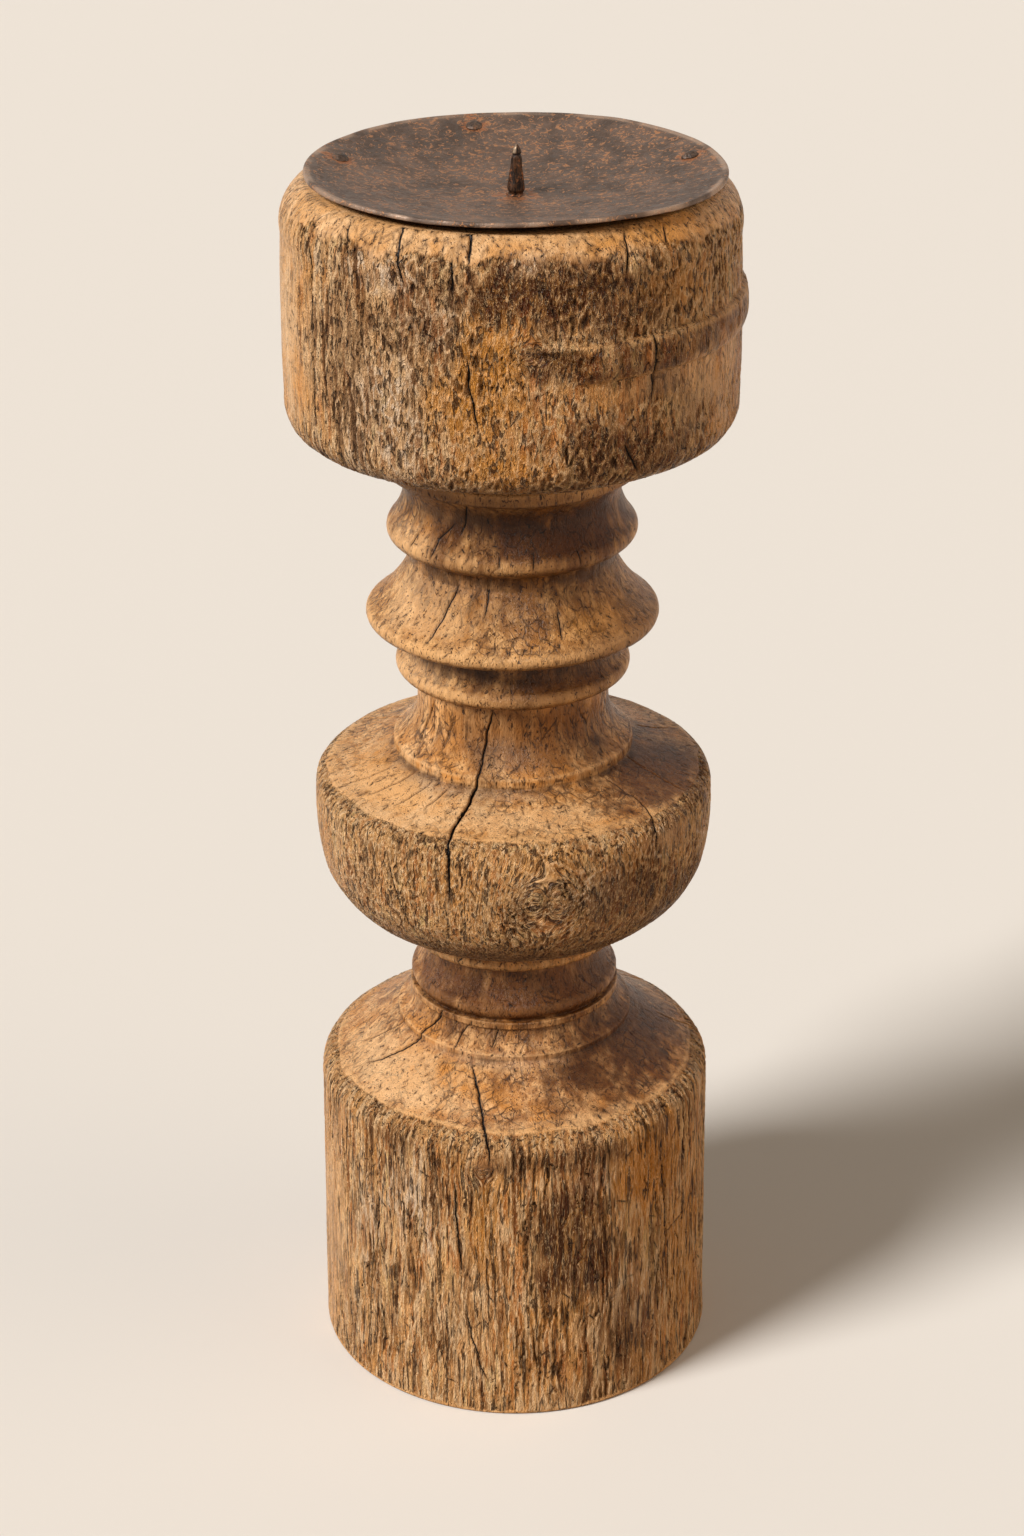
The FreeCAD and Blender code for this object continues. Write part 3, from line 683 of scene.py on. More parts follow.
    relief = grain["hair"]
    for cut, depth in ((curl, 2.2), (slit, 1.2), (craze, 0.8)):
        relief = node(tree, "Math", sum_up, _0=cut, _1=-depth, _2=relief)
    strength = node(tree, "MapRange", None, Value=fibre, To_Min=0.42, To_Max=1.0)
    bump = node(tree, "Bump", None, Height=relief, Strength=strength, Distance=0.0018)
    gloss = node(tree, "MapRange", None, Value=pit, To_Min=0.32, To_Max=0.6)
    shader = node(tree, "BsdfPrincipled", None, Base_Color=colour, Roughness=gloss, Normal=bump, IOR=1.26)
    node(tree, "OutputMaterial", None, Surface=shader)
    return material


# The wood's mesh has a step of 0.75 mm, fine enough for hollows 2 mm wide.
surface_step = 0.75
base = Turned("base_block", wood_hides(base_joint_radius), surface_step)
weather(base, base_side, base_scoops, seed=11, calm=base_calm, knots=base_knots, ragged=0.3)
sunk_and_worn(base, base_edges, seed=11)
patch_marks(base, base_patches, seed=31)
turned_pores = pores(base, 900, low=165, high=300, seed=12)
side_pores = pores(base, 500, low=4, high=165, seed=13, length=(2, 6))
cut_checks(base, base_checks + turned_pores + side_pores, seed=14)
base_piece = make_mesh(base, "base_block_wood")
base_piece.data.materials.append(turned_hardwood(
    "base turned hardwood, weathered", pale="#e6b178", middle="#b77f4b", deep="#5b361a", glaze="#c98438",
    pith=(-35, 170), strand=20))
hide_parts("base_block")
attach(base_piece, "root")

# Bowl block. A bowl-shaped block with a ringed, flaring neck, turned in one length and tenoned
# into the base. One long drying check runs down its neck and over the bowl, and stops on its side.
bowl_joint_radius = 46.0
bowl_foot = (46.0, 240.0)
bowl_side = (40, 129.5)
bowl_edges = [(132.0, 3.2, 0.9), (168.0, 1.2, 0.5)]
bowl_scoops = [(2.4, 7.5, 0.6), (1.5, 4.2, 0.4)]
bowl_calm = [(-78, 84, 14, 30, 0.4), (48, 116, 10, 7, 0.5)]
bowl_knots = [(9, 96, 17), (-146, 92, 12)]
bowl_checks = [
    (0.7, 1.6, [(-11.5, 211), (-15, 196), (-17, 171), (-18.5, 156)]),
    (1.2, 2.6, [(-16, 180), (-17, 171), (-20, 138), (-18.5, 116), (-18, 94)]),
    (0.6, 1.3, [(69, 167), (66, 132)]),
    (0.6, 1.3, [(46, 166), (49, 143), (45, 126), (43.5, 109)]),
    (0.6, 1.2, [(-38, 116), (-35.5, 94), (-31, 70)]),
    (0.5, 1.0, [(-52, 166), (-58, 140)]),
    (0.5, 1.0, [(-66, 160), (-70, 134)]),
    (0.4, 0.8, [(-40, 164), (-45, 142)]),
    (0.4, 0.8, [(-30, 164), (-34, 148)]),
    (0.5, 1.0, [(-55, 205), (-62, 186), (-60, 178)]),
    (0.4, 0.8, [(-38, 200), (-42, 184)]),
    (1.0, 1.8, [(150, 200), (154, 168), (152, 134), (155, 88)]),
    (0.7, 1.2, [(-118, 166), (-122, 138), (-120, 100)]),
    (0.6, 1.0, [(108, 160), (112, 138)]),
    (0.6, 1.0, [(-160, 164), (-163, 140)]),
]
# The pale patches on the left, where the light falls, are partly painted light. The dark patches on the
# slope's right and on the neck's front and right are painted shade; the others are real stains. The silver
# patches are partly painted glints.
bowl_patches = {
    "pale": [(-52, 150, 44, 20, 1.3), (0, 146, 42, 10, 0.7), (-62, 90, 24, 26, 0.4),
             (160, 146, 40, 10, 0.5)],
    "ochre": [(-60, 150, 30, 14, 0.3), (10, 120, 14, 8, 0.3)],
    "dark": [(34, 92, 18, 20, 0.7), (62, 70, 26, 24, 0.7), (74, 150, 40, 32, 1.1), (20, 192, 66, 24, 0.65),
             (0, 52, 80, 14, 0.6), (-140, 80, 30, 26, 0.6), (100, 190, 40, 14, 0.6)],
    "silver": [(48, 116, 10, 10, 0.9), (25, 100, 10, 12, 0.6), (-8, 186, 16, 10, 0.6),
               (-20, 163, 60, 4, 0.7)],
}
bowl = Turned("bowl_block", wood_hides(bowl_joint_radius), surface_step, [bowl_foot])
weather(bowl, bowl_side, bowl_scoops, seed=41, calm=bowl_calm, knots=bowl_knots, ragged=0.3)
sunk_and_worn(bowl, bowl_edges, seed=41)
patch_marks(bowl, bowl_patches, seed=61)
turned_pores = pores(bowl, 900, low=122, high=300, seed=42)
side_pores = pores(bowl, 400, low=10, high=120, seed=43, length=(2, 5))
cut_checks(bowl, bowl_checks + turned_pores + side_pores, seed=44)
bowl_piece = make_mesh(bowl, "bowl_block_wood")
bowl_piece.data.materials.append(turned_hardwood(
    "bowl turned hardwood, oiled", pale="#ebb67b", middle="#bf864c", deep="#5c391c", glaze="#cb873e",
    pith=(20, 190), strand=9))
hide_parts("bowl_block")
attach(bowl_piece, "root")

# Knop. The beaded middle piece: two half-round beads with a sharp cone between them and a collar
# on top, turned smooth and tenoned at both ends. Its coves are darkened with grime and painted shade. None
# of it is rotted, so the side given for that lies beyond its top.
knop_joint_radius = 52.0
beyond_top = (900, 901)
knop_edges = [(46.5, 1.5, 0.7), (134.0, 1.2, 0.4)]
knop_checks = [
    (0.7, 1.3, [(-31, 94), (-37, 58)]),
    (0.6, 1.0, [(-11.5, 104), (-14, 76)]),
    (0.6, 1.0, [(22.5, 81), (21.5, 65)]),
    (0.7, 1.2, [(-21, 148), (-27, 127)]),
    (0.7, 1.2, [(-30, 134), (-38, 124), (-39.5, 112)]),
    (0.6, 1.0, [(-52, 124), (-53, 115)]),
    (0.5, 0.8, [(-6, 120), (-6, 113)]),
    (0.5, 0.8, [(10, 122), (9, 112)]),
    (0.5, 0.8, [(31, 121), (32, 111)]),
    (0.9, 1.5, [(140, 130), (143, 92), (140, 56)]),
    (0.6, 1.0, [(-125, 96), (-128, 62)]),
    (0.6, 1.0, [(-165, 128), (-166, 110)]),
    (0.6, 1.0, [(95, 92), (97, 66)]),
]
# The pale patches on the left, where the light falls, are partly painted light. The dark patches at the
# front and right, on the beads, the cone and under the collar, are mostly painted shade; those at the back
# are stains. The silver patches are partly painted glints.
knop_patches = {
    "pale": [(-50, 78, 40, 22, 0.6), (-60, 18, 30, 10, 0.5), (-55, 118, 30, 8, 0.5), (-60, 150, 30, 6, 0.5)],
    "ochre": [(50, 70, 30, 12, 0.3)],
    "dark": [(25, 126, 75, 20, 1.1), (45, 96, 34, 10, 0.5), (25, 22, 62, 14, 0.8), (60, 60, 40, 24, 0.4),
             (6, 80, 32, 14, 0.45), (10, 152, 90, 5, 0.5), (-130, 120, 60, 12, 0.6), (150, 30, 60, 14, 0.6)],
    "silver": [(-20, 96, 30, 9, 0.5), (-30, 140, 25, 8, 0.4), (-20, 30, 40, 8, 0.4)],
}
knop = Turned("knop", wood_hides(knop_joint_radius), surface_step)
weather(knop, beyond_top, [(1.8, 5.0, 0.2)], seed=71)
sunk_and_worn(knop, knop_edges, seed=71)
patch_marks(knop, knop_patches, seed=91)
cut_checks(knop, knop_checks + pores(knop, 1100, low=0, high=300, seed=72), seed=74)
knop_piece = make_mesh(knop, "knop_wood")
knop_piece.data.materials.append(turned_hardwood(
    "knop turned hardwood, oiled", pale="#dba76c", middle="#a7733d", deep="#4d2f19", glaze="#ab6f2f",
    pith=(-15, 120)))
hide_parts("knop")
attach(knop_piece, "root")

# Head block. The drum that carries the pan, turned with one half-round bead round its middle. The
# bead has rotted away on the left, and ends ragged at the front. The whole side is deeply weathered. The
# hollow for the pan is cut a little off the drum's axis.
head_joint_radius = 60.0
head_foot = (60.0, 513.0)
head_hollow_radius = 92
pan_offset = 2.4
in_pan = Matrix.Translation((pan_offset / 1000, 0, 0))
head_side = (40, 158)
head_scoops = [(3.9, 9.5, 0.95), (2.2, 5.5, 0.5)]
head_flutes = (-52, 16, 3.4, 48.0, 1.1)
head_knots = [(5, 118, 6), (-168, 92, 11)]
head_checks = [
    (0.9, 1.8, [(-58, 168), (-57, 141), (-56.5, 104), (-57, 62)]),
    (0.7, 1.6, [(-46.5, 172), (-42.5, 154)]),
    (1.0, 2.0, [(-30, 179), (-27, 150), (-26, 146)]),
    (1.1, 2.2, [(-10.5, 180), (-10, 158)]),
    (0.8, 1.6, [(-14, 161), (-14, 145)]),
    (0.8, 1.4, [(-10.5, 116), (-10, 100), (-8, 80)]),
    (0.7, 1.6, [(30, 171), (28, 150)]),
    (0.7, 1.4, [(42.5, 170), (40.5, 160)]),
    (0.9, 1.8, [(35.5, 122), (35.5, 86)]),
    (0.8, 1.4, [(28, 70), (32, 54)]),
    (1.1, 2.0, [(128, 178), (131, 148), (130, 100), (132, 60)]),
    (0.9, 1.6, [(-142, 172), (-140, 132), (-143, 96)]),
    (0.8, 1.6, [(172, 170), (174, 128)]),
    (0.8, 1.4, [(-96, 150), (-98, 96), (-96, 60)]),
    (0.7, 1.4, [(92, 96), (94, 58)]),
]
head_calm = [(-78, 100, 22, 70, 0.85), (64, 92, 18, 34, 0.7), (44, 97, 24, 9, 0.8), (150, 90, 24, 40, 0.5)]
# The pale patches on the drum's left, where the light falls, are partly painted light. The wide dark band at
# the foot is painted shade under the drum; the other dark patches are real stains. The silver patches are
# partly painted glints.
head_patches = {
    "pale": [(-45, 172, 50, 10, 0.4), (-72, 110, 12, 60, 0.8), (-44, 100, 24, 60, 0.7),
             (10, 172, 30, 7, 0.5), (52, 84, 16, 12, 0.5), (140, 172, 50, 8, 0.5)],
    "ochre": [(-6, 104, 9, 38, 1.0), (-12, 90, 8, 22, 0.7), (38, 166, 22, 8, 0.5), (-3, 62, 12, 12, 0.8),
              (40, 140, 14, 12, 0.5), (170, 100, 14, 40, 0.6)],
    "dark": [(0, 4, 190, 16, 0.9), (8, 144, 26, 17, 1.1), (26, 132, 16, 14, 0.8), (-42, 118, 8, 46, 0.45),
             (22, 70, 14, 18, 0.85), (38, 60, 14, 12, 0.7), (7, 112, 5, 8, 0.8), (-24, 128, 10, 16, 0.5),
             (-150, 130, 22, 24, 0.7)],
    "silver": [(-36, 150, 14, 10, 0.9), (-33, 86, 12, 40, 0.8), (3, 157, 6, 6, 0.8), (-20, 132, 10, 14, 0.5),
               (56, 76, 12, 16, 0.5), (-120, 80, 20, 40, 0.5)],
}
bead = {"centre": 111.0, "tall": 19.0, "proud": 3.0, "first": 18, "last": 190}
bead_stub = (5, 19)


def half_round_bead(piece, centre, tall, proud, first, last, stub, seed):
    """Adds a half-round bead between two azimuths, with ragged broken ends, and its upper edge alone on a
    stub before the first of them. Its edges are rubbed pale, partly as a painted highlight, and its broken
    ends and hollows are sooty."""
    offset = piece.along - centre
    rise = proud * np.maximum(1 - np.abs(2 * offset / tall) ** 3, 0) ** 0.7
    inward = (piece.azimuth - first) % 360
    span = last - first
    beyond = np.minimum(inward - span, 360 - inward)
    past = np.where(inward < span, np.minimum(inward, span - inward), -beyond)
    ragged = past[None, :] + 4.0 * piece.noise((7, 7, 9), seed) + 2.0 * piece.noise((2.5, 2.5, 4), seed + 1)
    share = steps_between(-4, 2.5, ragged)
    edge = np.exp(-((offset - 0.40 * tall) / 1.7) ** 2)[:, None]
    foot = np.exp(-((offset + 0.47 * tall) / 1.1) ** 2)[:, None]

    # The bead itself, its chipped edge, and the stub of that edge.
    low, high = stub
    along_stub = steps_between(low - 3, low + 3, piece.azimuth) * (piece.azimuth < high + 20)
    on_stub = along_stub[None, :] * (1 - share)
    on_bead = share * (rise > 0.02)[:, None]
    piece.height *= 1 - 0.6 * on_bead
    piece.height += share * rise[:, None] + on_bead * (0.5 * edge + 0.3 * foot) + 1.6 * on_stub * edge
    chips = piece.noise((5, 5, 7), seed + 2) + 0.3 * piece.noise((2, 2, 3), seed + 3)
    chipped = steps_between(0.1, 0.7, chips)
    piece.height -= on_bead * 0.6 * chipped

    # Its body is dark in places, its broken ends and the front of the stub are sooty, and its edges are
    # rubbed pale, partly as a painted highlight.
    body = on_bead * steps_between(-0.5, 0.1, piece.noise((7, 7, 12), seed + 4)) * (1 - edge) * (1 - foot)
    piece.marks["dark"] = np.maximum(piece.marks["dark"], 0.55 * body)
    broken = 4 * share * (1 - share) * (rise > 0.02)[:, None] * (1 - edge)
    sooty = (steps_between(30, 14, piece.azimuth) * steps_between(low - 2, low + 5, piece.azimuth))[None, :]
    up_bead = steps_between(-0.52, -0.36, offset / tall) * steps_between(0.36, 0.22, offset / tall)
    sooty = sooty * up_bead[:, None]
    sooty *= steps_between(-0.7, 0.1, piece.noise((5, 5, 9), seed + 5))
    piece.marks["dark"] = np.maximum(piece.marks["dark"], np.maximum(broken, sooty))
    # The pale of its edges is partly a painted highlight.
    rubbed = (on_bead + on_stub) * np.maximum(edge * (1 - 0.5 * chipped), 0.6 * foot)
    piece.marks["worn"] = np.maximum(piece.marks["worn"], rubbed)
    piece.marks["pit"] *= 1 - 0.6 * on_bead
    piece.marks["crest"] *= 1 - 0.4 * on_bead


head = Turned("head_block", wood_hides(head_joint_radius), surface_step, [head_foot], azimuth=-3)
in_hollow = (np.arange(len(head.level)) > np.argmax(head.level)) & (head.radius < head_hollow_radius)
head.shift[in_hollow, :, 0] = pan_offset
weather(head, head_side, head_scoops, seed=101, flutes=head_flutes, calm=head_calm, knots=head_knots)
sunk_and_worn(head, seed=101)
patch_marks(head, head_patches, seed=121)
half_round_bead(head, **bead, stub=bead_stub, seed=131)
turned_pores = pores(head, 900, low=156, high=300, seed=102)
side_pores = pores(head, 500, low=30, high=156, seed=103, length=(2, 5))
cut_checks(head, head_checks + turned_pores + side_pores, seed=104)
head_piece = make_mesh(head, "head_block_wood")
head_piece.data.materials.append(turned_hardwood(
    "head turned hardwood, weathered", pale="#ecbf8d", middle="#c38d57", deep="#5f3c20", glaze="#d18c3b",
    pith=(30, 160)))
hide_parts("head_block")
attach(head_piece, "root")

# Drip pan. A dished disc of thick sheet iron, hammered into shape and nailed in the drum's hollow.
# Its rim is not quite level, and rust has bled round the nails and the spike.
pan_step = 1.0
pan_radius = 100.6
pan_seat = (86.0, 643.2)
nail_circle = 88.2
nail_azimuths = (-166.5, -106.7, 108.2)
front_lift = 0.5
right_drop = 1.2
buckle_height = 0.9


def pan_hides(outline, first, last):
    """The underside rests in the drum's hollow, and only its edge shows."""
    return outline[last, 0] <= pan_seat[0] + 1 and first < np.argmax(outline[:, 0])


# Hammer dents 15 and 34 mm across cover the dish, and the rim buckles slowly up and down round the pan.
pan = Turned("drip_pan", pan_hides, pan_step, [pan_seat], placement=in_pan)
out = pan.radius[:, None] / pan_radius
flat_places = pan.places * np.array((1, 1, 0), np.float32)
dents = 0.16 * soft_noise(flat_places / 15, 201) + 0.20 * soft_noise(flat_places / 34, 202)
dents = dents.reshape(pan.shape) * steps_between(5, 22, pan.radius)[:, None]
buckle = soft_noise(flat_places / 80, 203).reshape(pan.shape) * buckle_height
front = steps_between(70, 10, np.abs(pan.turned_from(-12)))
right = steps_between(50, 10, np.abs(pan.turned_from(72)))
rim_lift = (front_lift * front - right_drop * right)[None, :] + buckle
pan.shift[..., 2] = dents + out ** 6 * rim_lift
pan.shift[..., :2] = (0.008 * buckle * out ** 8)[..., None] * pan.places.reshape(*pan.shape, 3)[..., :2]

# Rust has bled round the spike and in a ring and a streak from each nail. The rim's edge is rubbed bare,
# and a band inside it at the front is painted sheen.
rust = steps_between(15, 4.5, pan.radius)[:, None] * np.ones(pan.shape)
for azimuth in nail_azimuths:
    across = np.radians(pan.turned_from(azimuth))[None, :] * pan.radius[:, None]
    outward = pan.radius[:, None] - nail_circle
    ring = steps_between(9.5, 3.5, np.hypot(across, outward))
    streak = steps_between(3.2, 1.2, np.abs(across)) * (outward > 0)
    rust = np.maximum(rust, np.maximum(ring, 0.7 * streak))
pan.marks["rust"] = rust
rim_top = steps_between(96.6, 98.4, pan.radius)[:, None]
pan.marks["rubbed"] = rim_top * steps_between(-0.5, 0.3, pan.noise((14, 14, 14), 204))
front_sheen_band = steps_between(78, 84, pan.radius) * (1 - steps_between(94.5, 97, pan.radius))
pan.marks["front_sheen_band"] = front_sheen_band[:, None] * steps_between(95, 60, np.abs(pan.turned_from(0)))[None, :]
pan_piece = make_mesh(pan, "drip_pan_sheet")


def rusted_sheet(name):
    """Hammered sheet iron, rusted and waxed. To the eye it is dull grey-brown with short curly flecks of
    orange rust, darker in a painted sheen band inside the rim at the front, and lighter on the bare edge."""
    material, tree = new_material(name)
    colours = {"data_type": "RGBA"}
    smooth = {"interpolation_type": "SMOOTHSTEP"}
    product = {"operation": "MULTIPLY", "use_clamp": True}
    sum_up = {"operation": "MULTIPLY_ADD"}
    rust, front_sheen_band, rubbed = (
        node(tree, "Attribute", {"attribute_name": mark}) for mark in ("rust", "front_sheen_band", "rubbed"))
    place = node(tree, "TexCoord").node.outputs["Object"]

    # The sizes in mm of its oxide clouds, curly flecks, the breaks in them, and grit.
    patterns = []
    for size, detail, roughness, distortion in (
        (20, 5.0, 0.6, 0.5),
        (5, 1.0, 0.5, 1.6),
        (3.2, 3.0, 0.6, 0.0),
        (1.1, 3.0, 0.65, 0.0),
    ):
        scaled = node(tree, "VectorMath", {"operation": "SCALE"}, _0=place, Scale=1000 / size)
        patterns.append(node(tree, "TexNoise", None, Vector=scaled, Scale=1.0, Detail=detail,
                             Roughness=roughness, Distortion=distortion))
    cloud, fleck, broken, grit = patterns
    cloud = node(tree, "MapRange", smooth, Value=cloud, From_Min=0.35, From_Max=0.65)
    colour = node(tree, "Mix", colours, _0=cloud, _6="#48382e", _7="#695447")
    # A band inside the rim at the front is painted sheen: darker, with fewer rust hairs.
    share = node(tree, "Math", product, _0=front_sheen_band, _1=0.55)
    colour = node(tree, "Mix", colours, _0=share, _6=colour, _7="#402f25")

    # Curly hairs of rust, drawn 0.5 mm wide so that they show, broken every few millimetres and thicker
    # where rust has bled, and dark specks of scale.
    hair = node(tree, "Math", {"operation": "SUBTRACT"}, _0=fleck, _1=0.5)
    hair = node(tree, "Math", {"operation": "ABSOLUTE"}, _0=hair)
    hair = node(tree, "MapRange", smooth, Value=hair, From_Min=0.065, From_Max=0.025)
    thick = node(tree, "MapRange", None, Value=cloud, To_Min=-0.04, To_Max=0.04)
    thick = node(tree, "Math", sum_up, _0=rust, _1=0.30, _2=thick)
    thick = node(tree, "Math", sum_up, _0=front_sheen_band, _1=-0.08, _2=thick)
    thick = node(tree, "Math", {"operation": "ADD"}, _0=broken, _1=thick)
    share = node(tree, "MapRange", smooth, Value=thick, From_Min=0.48, From_Max=0.56, To_Max=0.85)
    hair = node(tree, "Math", product, _0=share, _1=hair)
    colour = node(tree, "Mix", colours, _0=hair, _6=colour, _7="#ab7850")
    colour = stained(tree, colour, "#9c6038", thick, 0.62, 0.80, 0.7)
    colour = stained(tree, colour, "#382c26", fleck, 0.38, 0.30, 0.6)
    share = node(tree, "Math", product, _0=rubbed, _1=0.6)
    colour = node(tree, "Mix", colours, _0=share, _6=colour, _7="#b79b85")

    relief = node(tree, "Math", sum_up, _0=hair, _1=0.8, _2=grit)
    bump = node(tree, "Bump", None, Height=relief, Strength=0.6, Distance=0.0006)
    gloss = node(tree, "MapRange", None, Value=fleck, From_Min=0.35, From_Max=0.65, To_Min=0.42, To_Max=0.62)
    shader = node(tree, "BsdfPrincipled", None, Base_Color=colour, Metallic=0.4, Roughness=gloss,
                  Normal=bump)
    node(tree, "OutputMaterial", None, Surface=shader)
    return material


pan_piece.data.materials.append(rusted_sheet("drip pan rusted sheet iron, hammered"))
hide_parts("drip_pan")
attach(pan_piece, "root")

# Pricket. A spike forged on the end of a tang, which is driven through the pan into the drum. Eight
# hammered flats taper up to a filed nick, and the point above it has a painted highlight on its lit side.
spike_foot = 634.8
spike_nick = 654.2
nick_height = spike_nick - spike_foot
spike_height = 24
spike_lean = 0.5
spike_flats = 8


def spike_hides(outline, first, last):
    """The tang is inside the drum."""
    return outline[last, 1] < spike_foot + 0.05


spike = Turned("pricket", spike_hides, 0.32, azimuth=7, least_radius=0.3, placement=in_pan)
up = (spike.level - spike_foot)[:, None]
sector = 360 / spike_flats
flat = (spike.azimuth[None, :] + 1.6 * up) % sector - sector / 2
on_shank = steps_between(1.0, 3.0, up) * steps_between(nick_height, nick_height - 1.5, up)
spike.height += on_shank * 0.30 * (np.abs(flat) / (sector / 2) - 0.5)
spike.height += on_shank * 0.22 * spike.noise((3, 3, 4.5), 221)
burr = steps_between(1.6, 0.2, up)
spike.height += burr * (0.9 * spike.noise((2.6, 2.6, 1.5), 222) + 0.1)
spike.height += on_shank * (0.25 + 0.55 * steps_between(18, 3, up))
point = steps_between(nick_height, nick_height + 1, up)
spike.height += point * 0.12 * spike.noise((1.5, 1.5, 3), 223)
spike.shift[..., 0] = spike_lean * (up / spike_height) ** 2
# The point's side where the light falls gets a painted highlight, pale and glossier.
lit_side = steps_between(75, 30, np.abs(spike.turned_from(-70)))[None, :]
spike.marks["tip_highlight"] = 0.8 * point * lit_side * steps_between(-0.4, 0.3, spike.noise((2, 2, 3), 224))
spike.marks["scale"] = np.maximum(burr, on_shank * steps_between(0.0, 0.4, spike.noise((2.5, 2.5, 6), 225)))
nick = np.exp(-((spike.level - spike_nick - 0.4) / 0.7) ** 2)[:, None]
spike.marks["nick"] = nick * np.ones(spike.shape)
spike_piece = make_mesh(spike, "pricket_spike")


def forged_iron(name):
    """Forged iron under old scale. To the eye it is near-black brown with reddish rust along the hammer
    flats, orange crumbs of rust at the foot, and a painted highlight on the lit side of the tip."""
    material, tree = new_material(name)
    place = node(tree, "TexCoord").node.outputs["Object"]

    # Forging streaks, 1 mm wide and 4 mm long, and crumbs of rust 1.3 mm across.
    streak_place = node(tree, "VectorMath", {"operation": "MULTIPLY"}, _0=place, _1=(1000, 1000, 1000 / 4))
    streak = node(tree, "TexNoise", None, Vector=streak_place, Scale=1.0, Detail=3.0, Roughness=0.6,
                  Distortion=1.0)
    colour = stained(tree, "#150b06", "#4c311d", streak, 0.42, 0.62)
    crumb_place = node(tree, "VectorMath", {"operation": "SCALE"}, _0=place, Scale=1000 / 1.3)
    crumb = node(tree, "TexNoise", None, Vector=crumb_place, Scale=1.0, Detail=3.0, Roughness=0.6)
    scale = node(tree, "Attribute", {"attribute_name": "scale"})
    colour = stained(tree, colour, "#8c5530", crumb, 0.48, 0.62, 1.0, scale)
    for mark, tint in (("tip_highlight", "#b9a084"), ("nick", "#1c0f09")):
        share = node(tree, "Attribute", {"attribute_name": mark})
        colour = node(tree, "Mix", {"data_type": "RGBA"}, _0=share, _6=colour, _7=tint)

    bump = node(tree, "Bump", None, Height=streak, Strength=0.6, Distance=0.0005)
    tip_highlight = node(tree, "Attribute", {"attribute_name": "tip_highlight"})
    gloss = node(tree, "MapRange", None, Value=tip_highlight, To_Min=0.50, To_Max=0.34)
    shader = node(tree, "BsdfPrincipled", None, Base_Color=colour, Metallic=0.55, Roughness=gloss,
                  Normal=bump)
    node(tree, "OutputMaterial", None, Surface=shader)
    return material


spike_piece.data.materials.append(forged_iron("pricket forged iron, scaled"))
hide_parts("pricket")
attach(spike_piece, "root")

# Pan nails. Three hand-made nails hold the pan, and their heads were dented as they were driven home.
# Only the heads show, each in a ring of rust.
nail_head_radius = 4.2


def nail_hides(outline, first, last):
    """The shank is inside the drum."""
    return outline[first:last + 1, 0].max() < nail_head_radius - 0.6


def shank_frame(name):
    """A frame whose Z runs out of the pan along a nail's own axis, which its vertices stand evenly round."""
    points = np.array([vert.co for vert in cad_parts[name].data.vertices])
    spread, axes = np.linalg.eigh(np.cov(points.T))
    axis = Vector(axes[:, 0] if spread[1] - spread[0] > spread[2] - spread[1] else axes[:, 2])
    if axis.z < 0:
        axis.negate()
    turn = axis.to_track_quat("Z", "Y").to_matrix().to_4x4()
    return Matrix.Translation(points.mean(0)) @ turn


def rusted_nail(name):
    """A forged nail head. To the eye it is dark grey-brown iron, duller than the spike, with orange rust
    crumbs in its dents, which are about 2 mm across."""
    material, tree = new_material(name)
    place = node(tree, "TexCoord").node.outputs["Object"]
    place = node(tree, "VectorMath", {"operation": "SCALE"}, _0=place, Scale=1000 / 2.4)
    cloud = node(tree, "TexNoise", None, Vector=place, Scale=1.0, Detail=4.0, Roughness=0.6, Distortion=0.6)
    colour = stained(tree, "#352922", "#5f4b3e", cloud, 0.40, 0.62)
    colour = stained(tree, colour, "#96623f", cloud, 0.60, 0.68, 0.6)
    bump = node(tree, "Bump", None, Height=cloud, Strength=0.7, Distance=0.0006)
    shader = node(tree, "BsdfPrincipled", None, Base_Color=colour, Metallic=0.5, Roughness=0.5, Normal=bump)
    node(tree, "OutputMaterial", None, Surface=shader)
    return material


nail_iron = rusted_nail("pan nail forged iron, rusted")
for seed, name in enumerate(("pan_nail_back", "pan_nail_left", "pan_nail_right")):
    nail = Turned(name, nail_hides, 0.35, azimuth=0, least_radius=0.3, placement=shank_frame(name))
    dents = 0.55 * nail.noise((3.6, 3.6, 3.6), 231 + seed) + 0.25 * nail.noise((1.6, 1.6, 1.6), 241 + seed)
    nail.height += dents
    nail_piece = make_mesh(nail, name + "_head")
    nail_piece.data.materials.append(nail_iron)
    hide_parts(name)
    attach(nail_piece, "root")

# Floor, light and camera. A plain pale floor that runs to the horizon of the frame, soft studio light
# from the upper left with a weak fill, and a camera that looks down on the stand as the photograph does.
floor_half = 80.0
floor_mesh = bpy.data.meshes.new("floor")
corners = [(-1, -1), (1, -1), (1, 1), (-1, 1)]
floor_mesh.from_pydata([(x * floor_half, y * floor_half, 0) for x, y in corners], [], [(0, 1, 2, 3)])
floor = bpy.data.objects.new("floor", floor_mesh)
bpy.context.scene.collection.objects.link(floor)


def backdrop_seen(tree):
    """1 for rays that show the backdrop itself, straight on, in a gloss or through glass, and 0 for rays
    that carry its light to the stand."""
    ray = node(tree, "LightPath").node.outputs
    seen = node(tree, "Math", {"operation": "MAXIMUM"}, _0=ray["Is Camera Ray"], _1=ray["Is Glossy Ray"])
    return node(tree, "Math", {"operation": "MAXIMUM"}, _0=seen, _1=ray["Is Transmission Ray"])


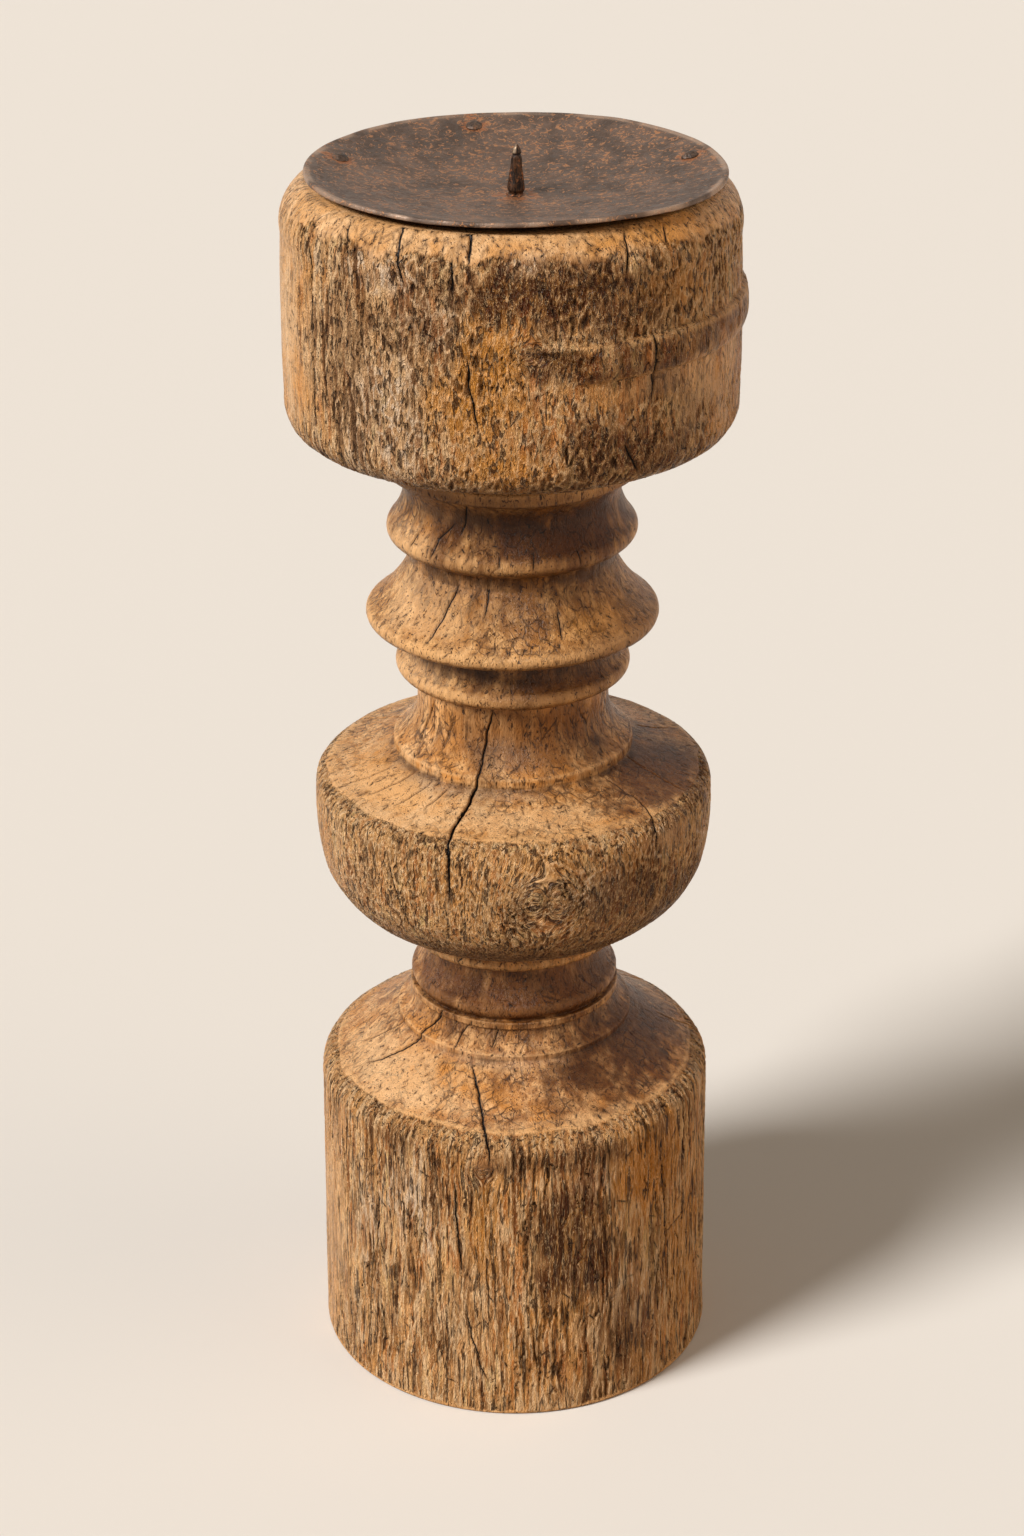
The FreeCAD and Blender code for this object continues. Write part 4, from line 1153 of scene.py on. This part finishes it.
# The floor is pale where it is seen, and sends the stand a weaker and warmer light.
floor_material, tree = new_material("plain pale floor")
floor_colour = node(tree, "Mix", {"data_type": "RGBA"}, _0=backdrop_seen(tree), _6="#7a6550", _7="#e6e1da")
floor_shader = node(tree, "BsdfPrincipled", None, Base_Color=floor_colour, Roughness=0.8)
node(tree, "OutputMaterial", None, Surface=floor_shader)
floor_mesh.materials.append(floor_material)

# The backdrop is pale where it is seen too, and lights the stand only weakly.
world = bpy.data.worlds.new("studio")
bpy.context.scene.world = world
world.use_nodes = True
tree = world.node_tree
tree.nodes.clear()
seen = backdrop_seen(tree)
backdrop_colour = node(tree, "Mix", {"data_type": "RGBA"}, _0=seen, _6="#f6e9da", _7="#f8efe4")
level = node(tree, "MapRange", None, Value=seen, To_Min=0.20, To_Max=0.9)
backdrop = node(tree, "Background", None, Color=backdrop_colour, Strength=level)
node(tree, "OutputWorld", None, Surface=backdrop)

# Each lamp stands at an azimuth and elevation, and is as many degrees across as it is soft.
for name, azimuth, elevation, soft, power, tint in (
    ("key", -58, 37, 20, 4.2, "#fdfaf7"),
    ("fill", 74, 5, 60, 1.65, "#ffe7c9"),
):
    lamp = bpy.data.lights.new(name, "SUN")
    lamp.energy = power
    lamp.angle = math.radians(soft)
    lamp.color = linear(tint)[:3]
    lamp_object = bpy.data.objects.new(name, lamp)
    a = math.radians(azimuth)
    e = math.radians(elevation)
    back = Vector((math.sin(a) * math.cos(e), -math.cos(a) * math.cos(e), math.sin(e)))
    lamp_object.rotation_mode = "QUATERNION"
    lamp_object.rotation_quaternion = back.to_track_quat("Z", "Y")
    bpy.context.scene.collection.objects.link(lamp_object)

# The camera was fitted to the photograph's ellipses and outline, with its focal length in pixels.
picture_height = 1536
focal_length = 3163
sensor = 36.0
pitch_down = 25.82
roll = 0.243
camera_place = (-0.00067, -1.4724, 1.0444)
camera_data = bpy.data.cameras.new("camera")
camera_data.sensor_width = sensor
camera_data.lens = focal_length / picture_height * sensor
camera = bpy.data.objects.new("camera", camera_data)
turn = Matrix.Rotation(math.radians(90 - pitch_down), 4, "X") @ Matrix.Rotation(math.radians(-roll), 4, "Z")
camera.matrix_world = Matrix.Translation(camera_place) @ turn
bpy.context.scene.collection.objects.link(camera)
bpy.context.scene.camera = camera

bpy.context.scene.view_settings.view_transform = "Standard"
